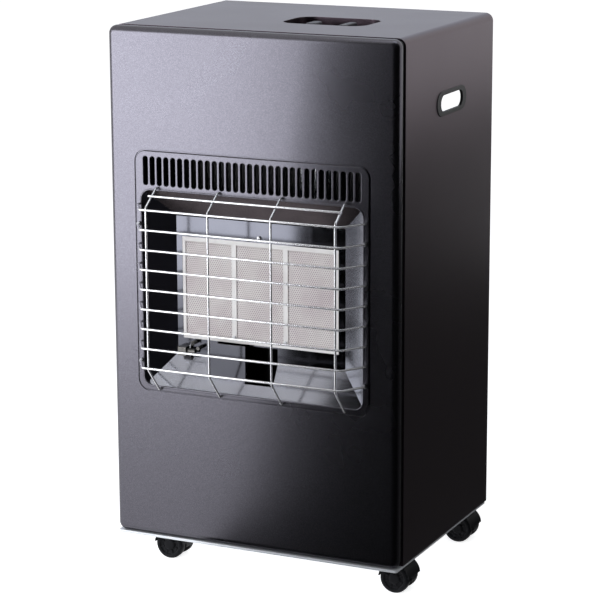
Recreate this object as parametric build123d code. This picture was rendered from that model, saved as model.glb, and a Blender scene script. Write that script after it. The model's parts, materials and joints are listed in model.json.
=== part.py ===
from build123d import *
import os
from math import hypot

# Portable propane cabinet heater: a sheet-steel cabinet on four twin-wheel casters, with a
# three-plaque infrared burner behind a wire guard and room for a gas bottle at the back.
#
# Everything is drawn in the body's frame: x from the cabinet's centre plane, y from the front
# edge of the shell towards the back, z from the bottom edge of the body. save() lifts it onto
# the casters and centres its depth, so the origin is on the floor under the middle.

# ---------------------------------------------------------------- driving dimensions, mm
# cabinet
cabinet_width = 420.0
body_height = 700.0
shell_depth = 310.0
floor_clearance = 48.0
sheet = 1.0
shell_bend = 11.0
shell_front_flange = 14.0
shell_rear_flange = 12.0
shell_foot_flange = 14.0
joint_gap = 0.3
screw_clearance = 0.15

# front panel, a pressed pan that stands off the shell on a dark foam seal
panel_protrusion = 21.0
panel_edge_radius = 9.0
panel_corner_radius = 11.0
panel_back_flange = 12.0
seal_thickness = 10.0
seal_width = 6.0
seal_inset = 3.0

# surround with the louvre and the radiant opening
surround_margin = 40.0
surround_bottom = 207.0
surround_top = 536.0
surround_corner = 15.0
surround_sheet = 1.2
surround_proud = 1.6
surround_gap = 1.6
surround_lip = 8.0
surround_edge_radius = 1.5
opening_margin = 9.25
opening_bottom = 214.5
opening_top = 482.6
opening_corner = 13.0
bead_radius = 1.3
louvre_slots = 31
louvre_margin = 10.35
louvre_slot_width = 6.6
louvre_slot_bottom = 489.8
louvre_slot_top = 528.5
louvre_lip_depth = 4.0
louvre_lip_wall = 0.8
louvre_edge_radius = 0.9

# wire guard
wire_diameter = 3.0
guard_stand_off = 38.0
guard_bars = 9
guard_bar_pitch = 26.97
guard_bar_bottom = 247.6
guard_bar_inset = 15.75
guard_bar_bend = 7.0
guard_posts = 4
guard_post_inset = 8.0
guard_post_bend = 6.0
guard_post_top_bend_z = 466.0
guard_post_bottom_bend_z = 244.0
guard_top_bar_drop = 10.1
guard_end_straight = 4.0
guard_end_clear = 0.2
guard_end_bend = 1.5
weld_gap = 0.02
clip_length = 2.5
clip_wall = 1.6

# reflector box
reflector_sheet = 0.8
reflector_lap = 3.9
reflector_back_half_width = 123.5
reflector_back_bottom = 257.0
reflector_back_top = 447.0
burner_face = 5.0
floor_notch_left = -16.0
floor_notch_right = 26.0
floor_notch_bottom = 228.0
pilot_shield_left = -70.0
pilot_shield_y = -8.0
pilot_shield_tab = 9.0
back_plate_bridge = 2.0

# burner
plaque_width = 73.0
plaque_height = 132.0
plaque_thickness = 12.0
plaque_pitch = 76.0
plaque_count = 3
plaque_bottom = 282.5
plaque_lap = 2.0
frame_sheet = 1.0
frame_border = 4.0
gasket_thickness = 1.5
gasket_border = 5.0
frame_return = 8.0
housing_depth = 34.0
housing_wall = 1.0
housing_margin = 1.2
stay_sheet = 1.5
stay_height = 40.0
stay_foot = 15.0
stay_lap = 24.0
tube_outer_radius = 9.0
tube_wall = 1.0
tube_mouth_radius = 13.0
tube_mouth_length = 12.0
tube_bottom = 205.0
tube_set_back = 2.5
tube_entry = 8.0
injector_across = 11.0
injector_length = 20.0
injector_tip_radius = 3.0
injector_tip_length = 10.0
injector_collar = 3.0
injector_shoulder = 1.0
rail_sheet = 1.5
rail_z = 194.0
rail_upstand = 14.0
supply_pipe_diameter = 6.0
supply_pipe_bend = 8.0
supply_pipe_step = 12.0
pilot_pipe_diameter = 4.0
pilot_pipe_offset = 14.0
pilot_port_inset = 10.0
pilot_port_rise = 12.0
thermocouple_lead_diameter = 2.0
ignition_lead_diameter = 3.0
lead_bend = 6.0
lead_first_bend = 3.5
lead_port_inset = 8.0
lead_run_offset = 36.0
ignition_lead_offset = 14.0
pipe_run_y = 59.0

# pilot set
pilot_x = -112.0
pilot_z = 262.0
pilot_block = 12.0
pilot_nozzle_radius = 3.5
pilot_nozzle_length = 12.0
pilot_bore_depth = 8.0
electrode_back = 8.0
electrode_reach = 10.0
electrode_pin_reach = 16.0
electrode_pin_drop = 5.0
thermocouple_reach = 12.0
thermocouple_back = 10.0
thermocouple_x = -88.0
thermocouple_z = 268.0
thermocouple_radius = 2.5
electrode_x = -97.0
electrode_z = 274.0
electrode_radius = 2.8
electrode_pin_radius = 0.9

# heat shield and bottle bay
heat_shield_y = 65.0
heat_shield_drop = 100.0
heat_shield_flange = 14.0
bottle_diameter = 256.0
bottle_clearance = 6.0
bottle_guide_height = 14.0
bottle_pad_radius = 95.0
bottle_pad_height = 1.5
base_sheet = 1.2
base_rim = 3.5
base_corner = 4.0
base_inset = 1.0

# rear cover
cover_width = 388.0
cover_bottom = 5.0
cover_rim = 22.0
cover_bulge = 25.0
cover_corner = 12.0
cover_draft = 40.0
cover_tab_width = 24.0
cover_tab_reach = 8.0
cover_slot_length = 62.0
cover_slot_width = 5.0
cover_slot_pitch = 13.0
cover_slot_rows = 6
cover_slot_columns = 3
cover_slot_spread = 80.0
cover_vent_share = 0.32
cover_rail_height = 20.0
cover_rail_drop = 150.0
cover_rail_clear = 6.0
cover_rail_flange = 10.0
cover_tab_slot_clear = 1.5
cover_tab_slot_above = 4.0

# hand grips in the side walls
grip_centre_y = 157.0
grip_drop = 100.0
grip_rim_length = 104.0
grip_rim_height = 33.0
grip_slot_length = 78.0
grip_slot_height = 22.0
grip_rim_thickness = 1.2
grip_collar_wall = 5.0
grip_collar_depth = 2.6

# controls
tray_length = 125.0
tray_width = 84.0
tray_centre_x = 47.5
tray_centre_y = 133.0
tray_corner = 24.0
tray_depth = 20.0
tray_wall = 1.5
tray_flange = 6.0
knob_x = 76.0
knob_y = 120.0
knob_skirt_radius = 24.0
knob_skirt_height = 4.0
knob_height = 15.0
knob_grip_radius = 19.0
knob_grip_width = 11.0
knob_travel = 4.0
knob_rise = 4.8
knob_edge_radius = 1.5
spindle_radius = 4.0
spindle_flat = 1.2
spindle_top_gap = 4.6
fit_clearance = 0.05
valve_width = 50.0
valve_depth = 38.0
valve_height = 43.0
valve_drop = 45.0
valve_port_spread = 18.0
valve_port_drop = 33.0
valve_bearing_depth = 16.0
valve_corner = 5.0
bracket_margin = 6.0
bracket_inset = 4.0
bracket_sheet = 1.5
button_x = 22.0
button_y = 131.0
button_length = 32.0
button_width = 14.0
button_sink = 2.0
button_height = 11.0
button_travel = 5.0
button_collar_wall = 2.0
button_collar_height = 9.0
plunger_radius = 4.0
plunger_length = 25.0
button_edge_radius = 2.0
igniter_radius = 9.0
igniter_length = 44.0
inlet_pipe_diameter = 8.0
inlet_pipe_reach = 42.0
inlet_port_rise = 10.0
nozzle_radius = 4.5
nozzle_length = 22.0
nozzle_nut_across = 14.0
nozzle_nut_length = 10.0
nozzle_tip = 0.8
nozzle_wall = 1.5
nozzle_plug = 2.0

# casters
caster_inset_x = 40.0
caster_inset_y = 40.0
caster_trail = 18.0
wheel_radius = 20.5
wheel_width = 11.0
wheel_gap = 17.0
wheel_side_clear = 0.4
hood_clear = 0.8
hood_wall = 1.2
hood_open_rise = 2.0
web_drop = 5.0
web_bite = 0.2
boss_floor = 3.0
wheel_edge_radius = 2.5
wheel_rim = 5.0
wheel_hub = 4.0
wheel_dish = 1.2
stem_radius = 4.0
stem_flange_radius = 11.0
stem_flange_height = 1.0
stem_depth = 18.0
stem_short = 2.0
socket_height = 30.0
socket_wall = 2.0
boss_radius = 7.4
axle_radius = 3.0
axle_depth = 8.5

# fasteners
panel_screw_radius = 2.0
panel_screw_head_radius = 3.6
panel_screw_head = 2.2
panel_screw_inset = 80.0
base_screw_radius = 2.0
base_screw_rows = [0.3, 0.5, 0.7]
base_screw_head_radius = 3.6
base_screw_head = 2.0
burner_screw_radius = 1.6
burner_screw_head_radius = 3.2
burner_screw_head = 1.8

# ---------------------------------------------------------------- values that follow
half_width = cabinet_width / 2
panel_face = -panel_protrusion
panel_back = -seal_thickness
panel_inside = panel_face + sheet
surround_width = cabinet_width - 2 * surround_margin
opening_width = surround_width - 2 * opening_margin
louvre_pitch = (surround_width - 2 * louvre_margin) / louvre_slots
surround_face = panel_face - surround_proud
surround_back = surround_face + surround_sheet
bead_proud = bead_radius - surround_sheet / 2
guard_plane = panel_face - guard_stand_off
post_plane = guard_plane + wire_diameter + weld_gap
guard_bar_half_width = opening_width / 2 - guard_bar_inset
guard_post_spread = 2 * (guard_bar_half_width - guard_post_inset)
shell_inside = half_width - sheet
cover_seat = shell_depth + joint_gap
cover_back = shell_depth + cover_bulge
front_reach = guard_plane - wire_diameter / 2
depth_shift = -(front_reach + cover_back) / 2
plaque_top = plaque_bottom + plaque_height
plaque_centres = [(i - (plaque_count - 1) / 2) * plaque_pitch for i in range(plaque_count)]
plaque_back = burner_face + plaque_thickness
housing_front = plaque_back + gasket_thickness
housing_back = housing_front + housing_depth
housing_half_width = plaque_centres[-1] + plaque_width / 2 + housing_margin
housing_bottom = plaque_bottom - frame_border
housing_top = plaque_top + frame_border
tube_y = housing_front + housing_depth / 2 + tube_set_back
tray_floor = body_height - tray_depth
tray_under = tray_floor - tray_wall
knob_bottom = tray_floor + knob_rise
knob_top = knob_bottom + knob_height
button_top = body_height - button_sink
valve_top = body_height - valve_drop
valve_bottom = valve_top - valve_height
port_z = valve_top - valve_port_drop
valve_front = knob_y - valve_depth / 2
valve_back = knob_y + valve_depth / 2
shield_back = heat_shield_y + sheet
heat_shield_top = body_height - heat_shield_drop
grip_centre_z = body_height - grip_drop
cover_rail_top = body_height - cover_rail_drop
cover_top = cover_rail_top - cover_rail_clear
wheel_centre_z = wheel_radius - floor_clearance
hood_inner = wheel_radius + hood_clear
hood_outer = hood_inner + hood_wall
stem_seat = -base_sheet
swivel_top = stem_seat - stem_flange_height - joint_gap
bottle_centre_y = shield_back + bottle_clearance / 2 + bottle_diameter / 2
screw_x = half_width - seal_inset - seal_width / 2
panel_screw_rows = [panel_screw_inset, body_height / 2, body_height - panel_screw_inset]
grip_wall_length = grip_slot_length + 2 * grip_collar_wall
grip_wall_height = grip_slot_height + 2 * grip_collar_wall

corners = {
    "front_left": (-(half_width - caster_inset_x), caster_inset_y),
    "front_right": (half_width - caster_inset_x, caster_inset_y),
    "rear_left": (-(half_width - caster_inset_x), shell_depth - caster_inset_y),
    "rear_right": (half_width - caster_inset_x, shell_depth - caster_inset_y),
}


# ---------------------------------------------------------------- helpers
def block(x0, x1, y0, y1, z0, z1):
    """A box between two corners."""
    centre = Pos((x0 + x1) / 2, (y0 + y1) / 2, (z0 + z1) / 2)
    return centre * Box(x1 - x0, y1 - y0, z1 - z0)


def upright(face, y0, y1):
    """Stand a face drawn in X and Z upright and give it the depth from y0 to y1."""
    return Pos(0, y1, 0) * Rot(90, 0, 0) * extrude(face, amount=y1 - y0)


def sideways(face, x0, x1):
    """Stand a face drawn in Y and Z on edge and give it the width from x0 to x1."""
    return Pos(x0, 0, 0) * Rot(0, 0, 90) * Rot(90, 0, 0) * extrude(face, amount=x1 - x0)


def rod(start, end, radius):
    """A round bar between two points."""
    way = Vector(*end) - Vector(*start)
    return extrude(Plane(origin=start, z_dir=way) * Circle(radius), amount=way.length)


def ring(start, end, outer, inner):
    """A round tube between two points."""
    way = Vector(*end) - Vector(*start)
    section = Circle(outer) - Circle(inner)
    return extrude(Plane(origin=start, z_dir=way) * section, amount=way.length)


def bent_bar(points, bend, radius):
    """A round bar along straight runs joined by arcs."""
    path = FilletPolyline(*points, radius=bend)
    start = path.position_at(0)
    section = Plane(origin=start, z_dir=path.tangent_at(0)) * Circle(radius)
    return sweep(section, path=path)


def rounded(width, bottom, top, corner):
    """A rectangle centred on x = 0 between two heights, with all corners rounded."""
    return Pos(0, (bottom + top) / 2) * RectangleRounded(width, top - bottom, corner)


def arch(width, height, corner):
    """A rectangle that stands on z = 0, with only its top corners rounded."""
    plate = Pos(0, height / 2) * Rectangle(width, height)
    return fillet(plate.vertices().sort_by(Axis.Y)[-2:], corner)


def stadium(x, y, length, width):
    """A slot outline with full round ends, long along its own X."""
    return Pos(x, y) * SlotOverall(length, width)


def hexagon_bar(start, end, across):
    """A hexagonal bar between two points, by its width across flats."""
    way = Vector(*end) - Vector(*start)
    outline = RegularPolygon(across / 2, 6, major_radius=False)
    return extrude(Plane(origin=start, z_dir=way) * outline, amount=way.length)


def sheet_between(points, thickness, outside):
    """A flat sheet from its corner points, thickened towards the outside point."""
    face = Face(Wire.make_polygon([Vector(*p) for p in points], close=True))
    normal = face.normal_at()
    if normal.dot(Vector(*outside) - Vector(*points[0])) < 0:
        normal = normal * -1
    return Solid.extrude(face, normal * thickness)


def panel_screw_spots():
    return [(side * screw_x, z) for side in (-1, 1) for z in panel_screw_rows]


def base_screw_spots():
    x = shell_inside - shell_foot_flange / 2
    rows = [shell_depth * share for share in base_screw_rows]
    return [(side * x, y) for side in (-1, 1) for y in rows]


def drill_upright(part, spots, radius, y0, y1):
    """Drill a hole along y at each (x, z) spot."""
    for x, z in spots:
        part -= rod((x, y0, z), (x, y1, z), radius)
    return part


# ---------------------------------------------------------------- cabinet
def make_shell():
    outer = arch(cabinet_width, body_height, shell_bend)
    inner = arch(cabinet_width - 2 * sheet, body_height - sheet, shell_bend - sheet)
    shell = upright(outer - inner, 0, shell_depth)
    for flange, y0 in ((shell_front_flange, 0), (shell_rear_flange, shell_depth - sheet)):
        hole = arch(cabinet_width - 2 * flange, body_height - flange, sheet)
        shell += upright(outer - hole, y0, y0 + sheet)
    for side in (-1, 1):
        edges = sorted((side * half_width, side * (half_width - shell_foot_flange)))
        shell += block(edges[0], edges[1], 0, shell_depth, 0, sheet)
        hole = stadium(grip_centre_y, grip_centre_z, grip_wall_length, grip_wall_height)
        spans = sorted((side * (half_width + 1), side * (half_width - 2 * sheet)))
        shell -= sideways(hole, spans[0], spans[1])
    tray_hole = Pos(tray_centre_x, tray_centre_y) * RectangleRounded(tray_length, tray_width, tray_corner)
    shell -= Pos(0, 0, body_height - 2 * sheet) * extrude(tray_hole, amount=3 * sheet)
    shell = drill_upright(shell, panel_screw_spots(), panel_screw_radius + screw_clearance, -1, sheet + 1)
    for x, y in base_screw_spots():
        shell -= rod((x, y, -1), (x, y, sheet + 1), base_screw_radius + screw_clearance)
    return shell


def make_front_panel():
    height = body_height
    outer = upright(rounded(cabinet_width, 0, height, panel_corner_radius), panel_face, panel_back)
    front = outer.faces().sort_by(Axis.Y)[0]
    outer = fillet(front.edges(), panel_edge_radius)
    cavity_outline = rounded(cabinet_width - 2 * sheet, sheet, height - sheet, panel_corner_radius - sheet)
    cavity = upright(cavity_outline, panel_inside, panel_back + 1)
    cavity = fillet(cavity.faces().sort_by(Axis.Y)[0].edges(), panel_edge_radius - sheet)
    panel = outer - cavity
    flange = rounded(cabinet_width - 2 * sheet, sheet, height - sheet, panel_corner_radius - sheet)
    inset = panel_back_flange
    flange -= rounded(cabinet_width - 2 * inset, inset, height - inset, panel_corner_radius / 2)
    panel += upright(flange, panel_back - sheet, panel_back)
    gap = surround_gap
    cut = rounded(surround_width + 2 * gap, surround_bottom - gap, surround_top + gap, surround_corner + gap)
    panel -= upright(cut, panel_face - 1, panel_inside + 1)
    hole = panel_screw_radius + screw_clearance
    return drill_upright(panel, panel_screw_spots(), hole, panel_back - 2 * sheet, panel_back + 1)


def make_panel_seal():
    low = seal_inset
    high = body_height - seal_inset
    width = cabinet_width - 2 * seal_inset
    corner = panel_corner_radius / 2
    strip = rounded(width, low, high, corner)
    strip -= rounded(width - 2 * seal_width, low + seal_width, high - seal_width, corner / 2)
    seal = upright(strip, panel_back, 0)
    return drill_upright(seal, panel_screw_spots(), panel_screw_radius + screw_clearance, panel_back - 1, 1)


def slot_centres():
    return [(i - (louvre_slots - 1) / 2) * louvre_pitch for i in range(louvre_slots)]


def louvre_slot(x, grow=0.0):
    """One upright louvre slot with round ends, drawn in X and Z."""
    middle = (louvre_slot_bottom + louvre_slot_top) / 2
    length = louvre_slot_top - louvre_slot_bottom + 2 * grow
    return Pos(x, middle) * Rot(0, 0, 90) * SlotOverall(length, louvre_slot_width + 2 * grow)


def make_surround():
    outline = rounded(surround_width, surround_bottom, surround_top, surround_corner)
    wall = surround_sheet
    inner = rounded(
        surround_width - 2 * wall, surround_bottom + wall, surround_top - wall, surround_corner - wall
    )
    hood = upright(outline, surround_face, panel_inside + wall)
    hood = fillet(hood.faces().sort_by(Axis.Y)[0].edges(), surround_edge_radius)
    hood -= upright(inner, surround_back, panel_inside + wall + 1)
    lip = surround_lip
    flange = rounded(
        surround_width + 2 * lip, surround_bottom - lip, surround_top + lip, surround_corner + lip
    )
    hood += upright(flange - inner, panel_inside, panel_inside + wall)
    hole = rounded(
        opening_width + 2 * bead_radius,
        opening_bottom - bead_radius,
        opening_top + bead_radius,
        opening_corner + bead_radius,
    )
    hood -= upright(hole, surround_face - 1, surround_back + 1)
    middle = (surround_face + surround_back) / 2
    bead_path = Pos(0, middle, 0) * Rot(90, 0, 0) * hole.wire()
    start = bead_path.position_at(0)
    bead = sweep(Plane(origin=start, z_dir=bead_path.tangent_at(0)) * Circle(bead_radius), path=bead_path)
    hood += bead
    slots = Sketch() + [louvre_slot(x) for x in slot_centres()]
    rims = Sketch() + [louvre_slot(x, louvre_lip_wall) for x in slot_centres()]
    hood += upright(rims - slots, surround_back, surround_back + louvre_lip_depth)
    hood -= upright(slots, surround_face - 1, surround_back + 1)
    front = max(hood.faces().filter_by(Axis.Y).group_by(Axis.Y)[0], key=lambda face: face.area)
    mouths = [wire for wire in front.inner_wires() if wire.length < surround_width / 2]
    return fillet([edge for wire in mouths for edge in wire.edges()], louvre_edge_radius)


def guard_bar_heights():
    return [guard_bar_bottom + i * guard_bar_pitch for i in range(guard_bars)]


def make_guard():
    """Wrap-round bars, the posts behind them and one more bar, each a wire of its own."""
    radius = wire_diameter / 2
    edge = opening_width / 2 + 2 * bead_radius + radius + guard_end_clear
    straight = surround_face - guard_end_straight
    bars = []
    for z in guard_bar_heights():
        path = [
            (-edge, surround_face, z),
            (-edge, straight, z),
            (-guard_bar_half_width, guard_plane, z),
            (guard_bar_half_width, guard_plane, z),
            (edge, straight, z),
            (edge, surround_face, z),
        ]
        bars.append(bent_bar(path, [guard_end_bend, guard_bar_bend, guard_bar_bend, guard_end_bend], radius))
    top = opening_top + 2 * bead_radius + radius + guard_end_clear
    bottom = opening_bottom - 2 * bead_radius - radius - guard_end_clear
    posts = []
    for i in range(guard_posts):
        x = (i / (guard_posts - 1) - 0.5) * guard_post_spread
        path = [
            (x, surround_face, top),
            (x, straight, top),
            (x, post_plane, guard_post_top_bend_z),
            (x, post_plane, guard_post_bottom_bend_z),
            (x, straight, bottom),
            (x, surround_face, bottom),
        ]
        bends = [guard_end_bend, guard_post_bend, guard_post_bend, guard_end_bend]
        posts.append(bent_bar(path, bends, radius))
    slope_y = straight - post_plane
    slope_z = top - guard_post_top_bend_z
    length = hypot(slope_y, slope_z)
    share = 1 - guard_top_bar_drop / slope_z
    out = wire_diameter + weld_gap
    bar_y = post_plane + slope_y * share - out * slope_z / length
    bar_z = guard_post_top_bend_z + slope_z * share + out * slope_y / length
    reach = guard_post_spread / 2 + wire_diameter
    return [*bars, *posts, rod((-reach, bar_y, bar_z), (reach, bar_y, bar_z), radius)]


def make_guard_clips():
    """Ring clips that hold the second and the lowest bar's ends on the surround."""
    radius = wire_diameter / 2
    edge = opening_width / 2 + 2 * bead_radius + radius + guard_end_clear
    heights = guard_bar_heights()
    clips = []
    for z in (heights[0], heights[-2]):
        for side in (-1, 1):
            back_y = surround_face - bead_proud - fit_clearance
            front = (side * edge, back_y - clip_length, z)
            back = (side * edge, back_y, z)
            clips.append(ring(front, back, radius + clip_wall, radius + fit_clearance))
    return clips


# ---------------------------------------------------------------- reflector box
def reflector_front_edge():
    half = opening_width / 2 + reflector_lap
    return half, opening_bottom - reflector_lap, opening_top + reflector_lap


def floor_depth_at(z):
    """The depth of the sloping reflector floor at a height."""
    half, low, high = reflector_front_edge()
    share = (z - low) / (reflector_back_bottom - low)
    return surround_back + share * (burner_face - surround_back)


def floor_height_at(y):
    half, low, high = reflector_front_edge()
    share = (y - surround_back) / (burner_face - surround_back)
    return low + share * (reflector_back_bottom - low)


def make_reflector(side):
    half, low, high = reflector_front_edge()
    back = reflector_back_half_width
    seam = fit_clearance
    y0 = surround_back
    y1 = burner_face
    bottom = reflector_back_bottom
    top = reflector_back_top
    shapes = {
        "left": [(-half, y0, low), (-half, y0, high), (-back, y1, top), (-back, y1, bottom)],
        "right": [(half, y0, low), (half, y0, high), (back, y1, top), (back, y1, bottom)],
    }
    for name, front_z, back_z in (("top", high + seam, top + seam), ("bottom", low - seam, bottom - seam)):
        shapes[name] = [(-half, y0, front_z), (half, y0, front_z), (back, y1, back_z), (-back, y1, back_z)]
    far = 10 * half
    outside = {"left": (-far, 0, low), "right": (far, 0, low), "top": (0, 0, far), "bottom": (0, 0, -far)}
    panel = sheet_between(shapes[side], reflector_sheet, outside[side])
    if side == "bottom":
        notch_y = floor_depth_at(floor_notch_bottom)
        beyond = 10 * reflector_sheet
        panel -= block(floor_notch_left, floor_notch_right, notch_y, y1 + beyond,
                       low - beyond, bottom + beyond)
    wall = surround_sheet + fit_clearance
    room = rounded(
        surround_width - 2 * wall, surround_bottom + wall, surround_top - wall, surround_corner - wall
    )
    return panel & upright(room, surround_back, burner_face + reflector_sheet * 2)


def make_deflector():
    """Bright plate above the plaques, with a ledge on the burner housing and a strip down each side."""
    front = burner_face - reflector_sheet
    half = reflector_back_half_width
    plate = block(-half, half, front, burner_face, housing_top, reflector_back_top - reflector_sheet)
    half_ledge = housing_half_width
    plate += block(-half_ledge, half_ledge, front, housing_back, housing_top, housing_top + reflector_sheet)
    beside = half_ledge + frame_sheet + joint_gap
    for side in (-1, 1):
        spans = sorted((side * beside, side * half))
        plate += block(spans[0], spans[1], front, burner_face, housing_bottom, housing_top)
    spot_z = housing_top + 2 * burner_screw_head_radius
    return plate - rod((0, front - 1, spot_z), (0, burner_face + 1, spot_z), burner_screw_radius)


def make_back_plate():
    """Bright plate below the plaques, notched in the middle and drilled for the pilot set."""
    front = burner_face - reflector_sheet
    half = reflector_back_half_width
    top = housing_bottom - fit_clearance
    plate = block(-half, half, front, burner_face, reflector_back_bottom + fit_clearance, top)
    notch_top = top - back_plate_bridge
    plate -= block(floor_notch_left, floor_notch_right, front - 1, burner_face + 1, 0, notch_top)
    holes = (
        (electrode_x, electrode_z, electrode_radius),
        (thermocouple_x, thermocouple_z, thermocouple_radius),
        (pilot_x, pilot_z, pilot_pipe_diameter / 2),
    )
    for x, z, radius in holes:
        plate -= rod((x, front - 1, z), (x, burner_face + 1, z), radius + fit_clearance)
    return plate


def make_pilot_shield():
    """Upright bright guard plate beside the pilot, standing on the sloping floor."""
    y = pilot_shield_y
    low = floor_height_at(y)
    plate = block(pilot_shield_left, floor_notch_left, y - reflector_sheet, y, low, housing_bottom)
    tab_z = housing_bottom - pilot_shield_tab
    tab_end = pilot_shield_left + pilot_shield_tab
    tab = block(pilot_shield_left, tab_end, y, burner_face - reflector_sheet, tab_z, tab_z + reflector_sheet)
    return plate + tab


# ---------------------------------------------------------------- burner
def make_burner_frame():
    """Front frame that laps the edges of the plaques, with a return that slips over the housing."""
    front = burner_face - frame_sheet
    half = housing_half_width + frame_sheet
    low = housing_bottom
    high = housing_top
    frame = block(-half, half, front, burner_face, low, high)
    frame += block(-half, -housing_half_width, burner_face, housing_front + frame_return, low, high)
    frame += block(housing_half_width, half, burner_face, housing_front + frame_return, low, high)
    for x in plaque_centres:
        reach = plaque_width / 2 - plaque_lap
        frame -= block(x - reach, x + reach, front - 1, burner_face + 1,
                       plaque_bottom + plaque_lap, plaque_top - plaque_lap)
    for x in frame_screw_spots():
        z = frame_screw_z()
        frame -= rod((x, front - 1, z), (x, burner_face + 1, z), burner_screw_radius)
    return frame


def frame_screw_spots():
    return [(a + b) / 2 for a, b in zip(plaque_centres, plaque_centres[1:])]


def frame_screw_z():
    return plaque_bottom + plaque_lap + burner_screw_radius


def make_plaque(x):
    half = plaque_width / 2
    return block(x - half, x + half, burner_face, plaque_back, plaque_bottom, plaque_top)


def make_gaskets():
    gaskets = []
    for x in plaque_centres:
        half = plaque_width / 2
        pad = block(x - half, x + half, plaque_back, housing_front, plaque_bottom, plaque_top)
        inner = half - gasket_border
        pad -= block(x - inner, x + inner, plaque_back - 1, housing_front + 1,
                     plaque_bottom + gasket_border, plaque_top - gasket_border)
        gaskets.append(pad)
    return gaskets


def make_housing():
    """Pressed box behind the plaques, split into one mixing chamber for each."""
    half = housing_half_width
    wall = housing_wall
    box = block(-half, half, housing_front, housing_back, housing_bottom, housing_top)
    for x in plaque_centres:
        left = -half + wall if x == plaque_centres[0] else x - (plaque_pitch - wall) / 2
        right = half - wall if x == plaque_centres[-1] else x + (plaque_pitch - wall) / 2
        box -= block(left, right, housing_front + wall, housing_back - wall,
                     housing_bottom + wall, housing_top - wall)
        reach = plaque_width / 2 - gasket_border
        box -= block(x - reach, x + reach, housing_front - 1, housing_front + wall + 1,
                     plaque_bottom + gasket_border, plaque_top - gasket_border)
        box -= rod((x, tube_y, housing_bottom - 1), (x, tube_y, housing_bottom + wall + 1), tube_outer_radius)
    return box


def make_mixing_tubes():
    tubes = []
    top = housing_bottom + tube_entry
    for x in plaque_centres:
        mouth_top = tube_bottom + tube_mouth_length
        outside = [
            (tube_outer_radius, top),
            (tube_outer_radius, mouth_top),
            (tube_mouth_radius, tube_bottom),
        ]
        inside = [(r - tube_wall, z) for r, z in reversed(outside)]
        profile = Plane.XZ * Polygon(*outside, *inside, align=None)
        tubes.append(Pos(x, tube_y, 0) * revolve(profile, axis=Axis.Z))
    return tubes


def make_injector_rail():
    """Steel angle, fixed to the heat shield, that holds the injectors under the tube mouths."""
    reach = plaque_centres[-1] + injector_across * 2
    rail = block(-reach, reach, tube_y - injector_across, heat_shield_y, rail_z, rail_z + rail_sheet)
    rail += block(-reach, reach, heat_shield_y - rail_sheet, heat_shield_y, rail_z - rail_upstand, rail_z)
    for x in plaque_centres:
        radius = injector_across / 2 - injector_shoulder
        rail -= rod((x, tube_y, rail_z - 1), (x, tube_y, rail_z + rail_sheet + 1), radius)
    for x in rail_pipe_spots():
        radius = supply_pipe_diameter / 2 + fit_clearance * 4
        rail -= rod((x, pipe_run_y, rail_z - 1), (x, pipe_run_y, rail_z + rail_sheet + 1), radius)
    return rail


def rail_pipe_spots():
    return [knob_x + side * valve_port_spread for side in (-1, 0, 1)]


def make_injectors():
    injectors = []
    for x in plaque_centres:
        low = rail_z - injector_length / 2
        nut = hexagon_bar((x, tube_y, low), (x, tube_y, rail_z), injector_across)
        neck_top = rail_z + rail_sheet
        neck_radius = injector_across / 2 - injector_shoulder - fit_clearance
        neck = rod((x, tube_y, rail_z), (x, tube_y, neck_top), neck_radius)
        collar_top = neck_top + injector_collar
        collar = hexagon_bar((x, tube_y, neck_top), (x, tube_y, collar_top), injector_across)
        tip = rod((x, tube_y, collar_top), (x, tube_y, collar_top + injector_tip_length), injector_tip_radius)
        injectors.append(nut + neck + collar + tip)
    return injectors


def make_supply_pipes():
    """One pipe from each valve port, down behind the burner and up into each injector."""
    pipes = []
    end_z = rail_z - injector_length / 2
    for i, x in enumerate(plaque_centres):
        port_x = rail_pipe_spots()[i]
        low = end_z - 2 * supply_pipe_bend - (plaque_count - 1 - i) * supply_pipe_step
        path = [
            (port_x, valve_front, port_z),
            (port_x, pipe_run_y, port_z),
            (port_x, pipe_run_y, low),
            (x, pipe_run_y, low),
            (x, tube_y, low),
            (x, tube_y, end_z),
        ]
        pipes.append(bent_bar(path, supply_pipe_bend, supply_pipe_diameter / 2))
    return pipes


def make_burner_stays():
    """Angles between the housing's ends and the heat shield."""
    low = (housing_bottom + housing_top - stay_height) / 2
    high = low + stay_height
    stays = []
    for side in (-1, 1):
        inner = housing_half_width
        outer = inner + stay_sheet
        spans = sorted((side * inner, side * outer))
        stay = block(spans[0], spans[1], housing_back - stay_lap, heat_shield_y, low, high)
        foot = sorted((side * outer, side * (outer + stay_foot)))
        stay += block(foot[0], foot[1], heat_shield_y - stay_sheet, heat_shield_y, low, high)
        stays.append(stay)
    return stays


# ---------------------------------------------------------------- pilot set and leads
def make_pilot_burner():
    seat = burner_face - reflector_sheet
    half = pilot_block / 2
    body = block(pilot_x - half, pilot_x + half, seat - pilot_block, seat, pilot_z - half, pilot_z + half)
    middle_y = seat - half
    start = (pilot_x + half, middle_y, pilot_z)
    end = (pilot_x + half + pilot_nozzle_length, middle_y, pilot_z)
    body += rod(start, end, pilot_nozzle_radius)
    bore_start = (end[0] - pilot_bore_depth, middle_y, pilot_z)
    return body - rod(bore_start, (end[0] + 1, middle_y, pilot_z), pilot_nozzle_radius - 1)


def make_electrode():
    """White ceramic insulator through the back plate."""
    spot = (electrode_x, burner_face + electrode_back, electrode_z)
    tip_y = burner_face - electrode_reach
    body = rod(spot, (electrode_x, tip_y, electrode_z), electrode_radius)
    return body - rod(spot, (electrode_x, tip_y - 1, electrode_z), electrode_pin_radius)


def make_electrode_pin():
    back = (electrode_x, burner_face + electrode_back, electrode_z)
    front = burner_face - electrode_pin_reach
    tip_z = electrode_z - electrode_pin_drop
    path = [back, (electrode_x, front, electrode_z), (electrode_x, front, tip_z)]
    return bent_bar(path, 2 * electrode_pin_radius, electrode_pin_radius)


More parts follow.
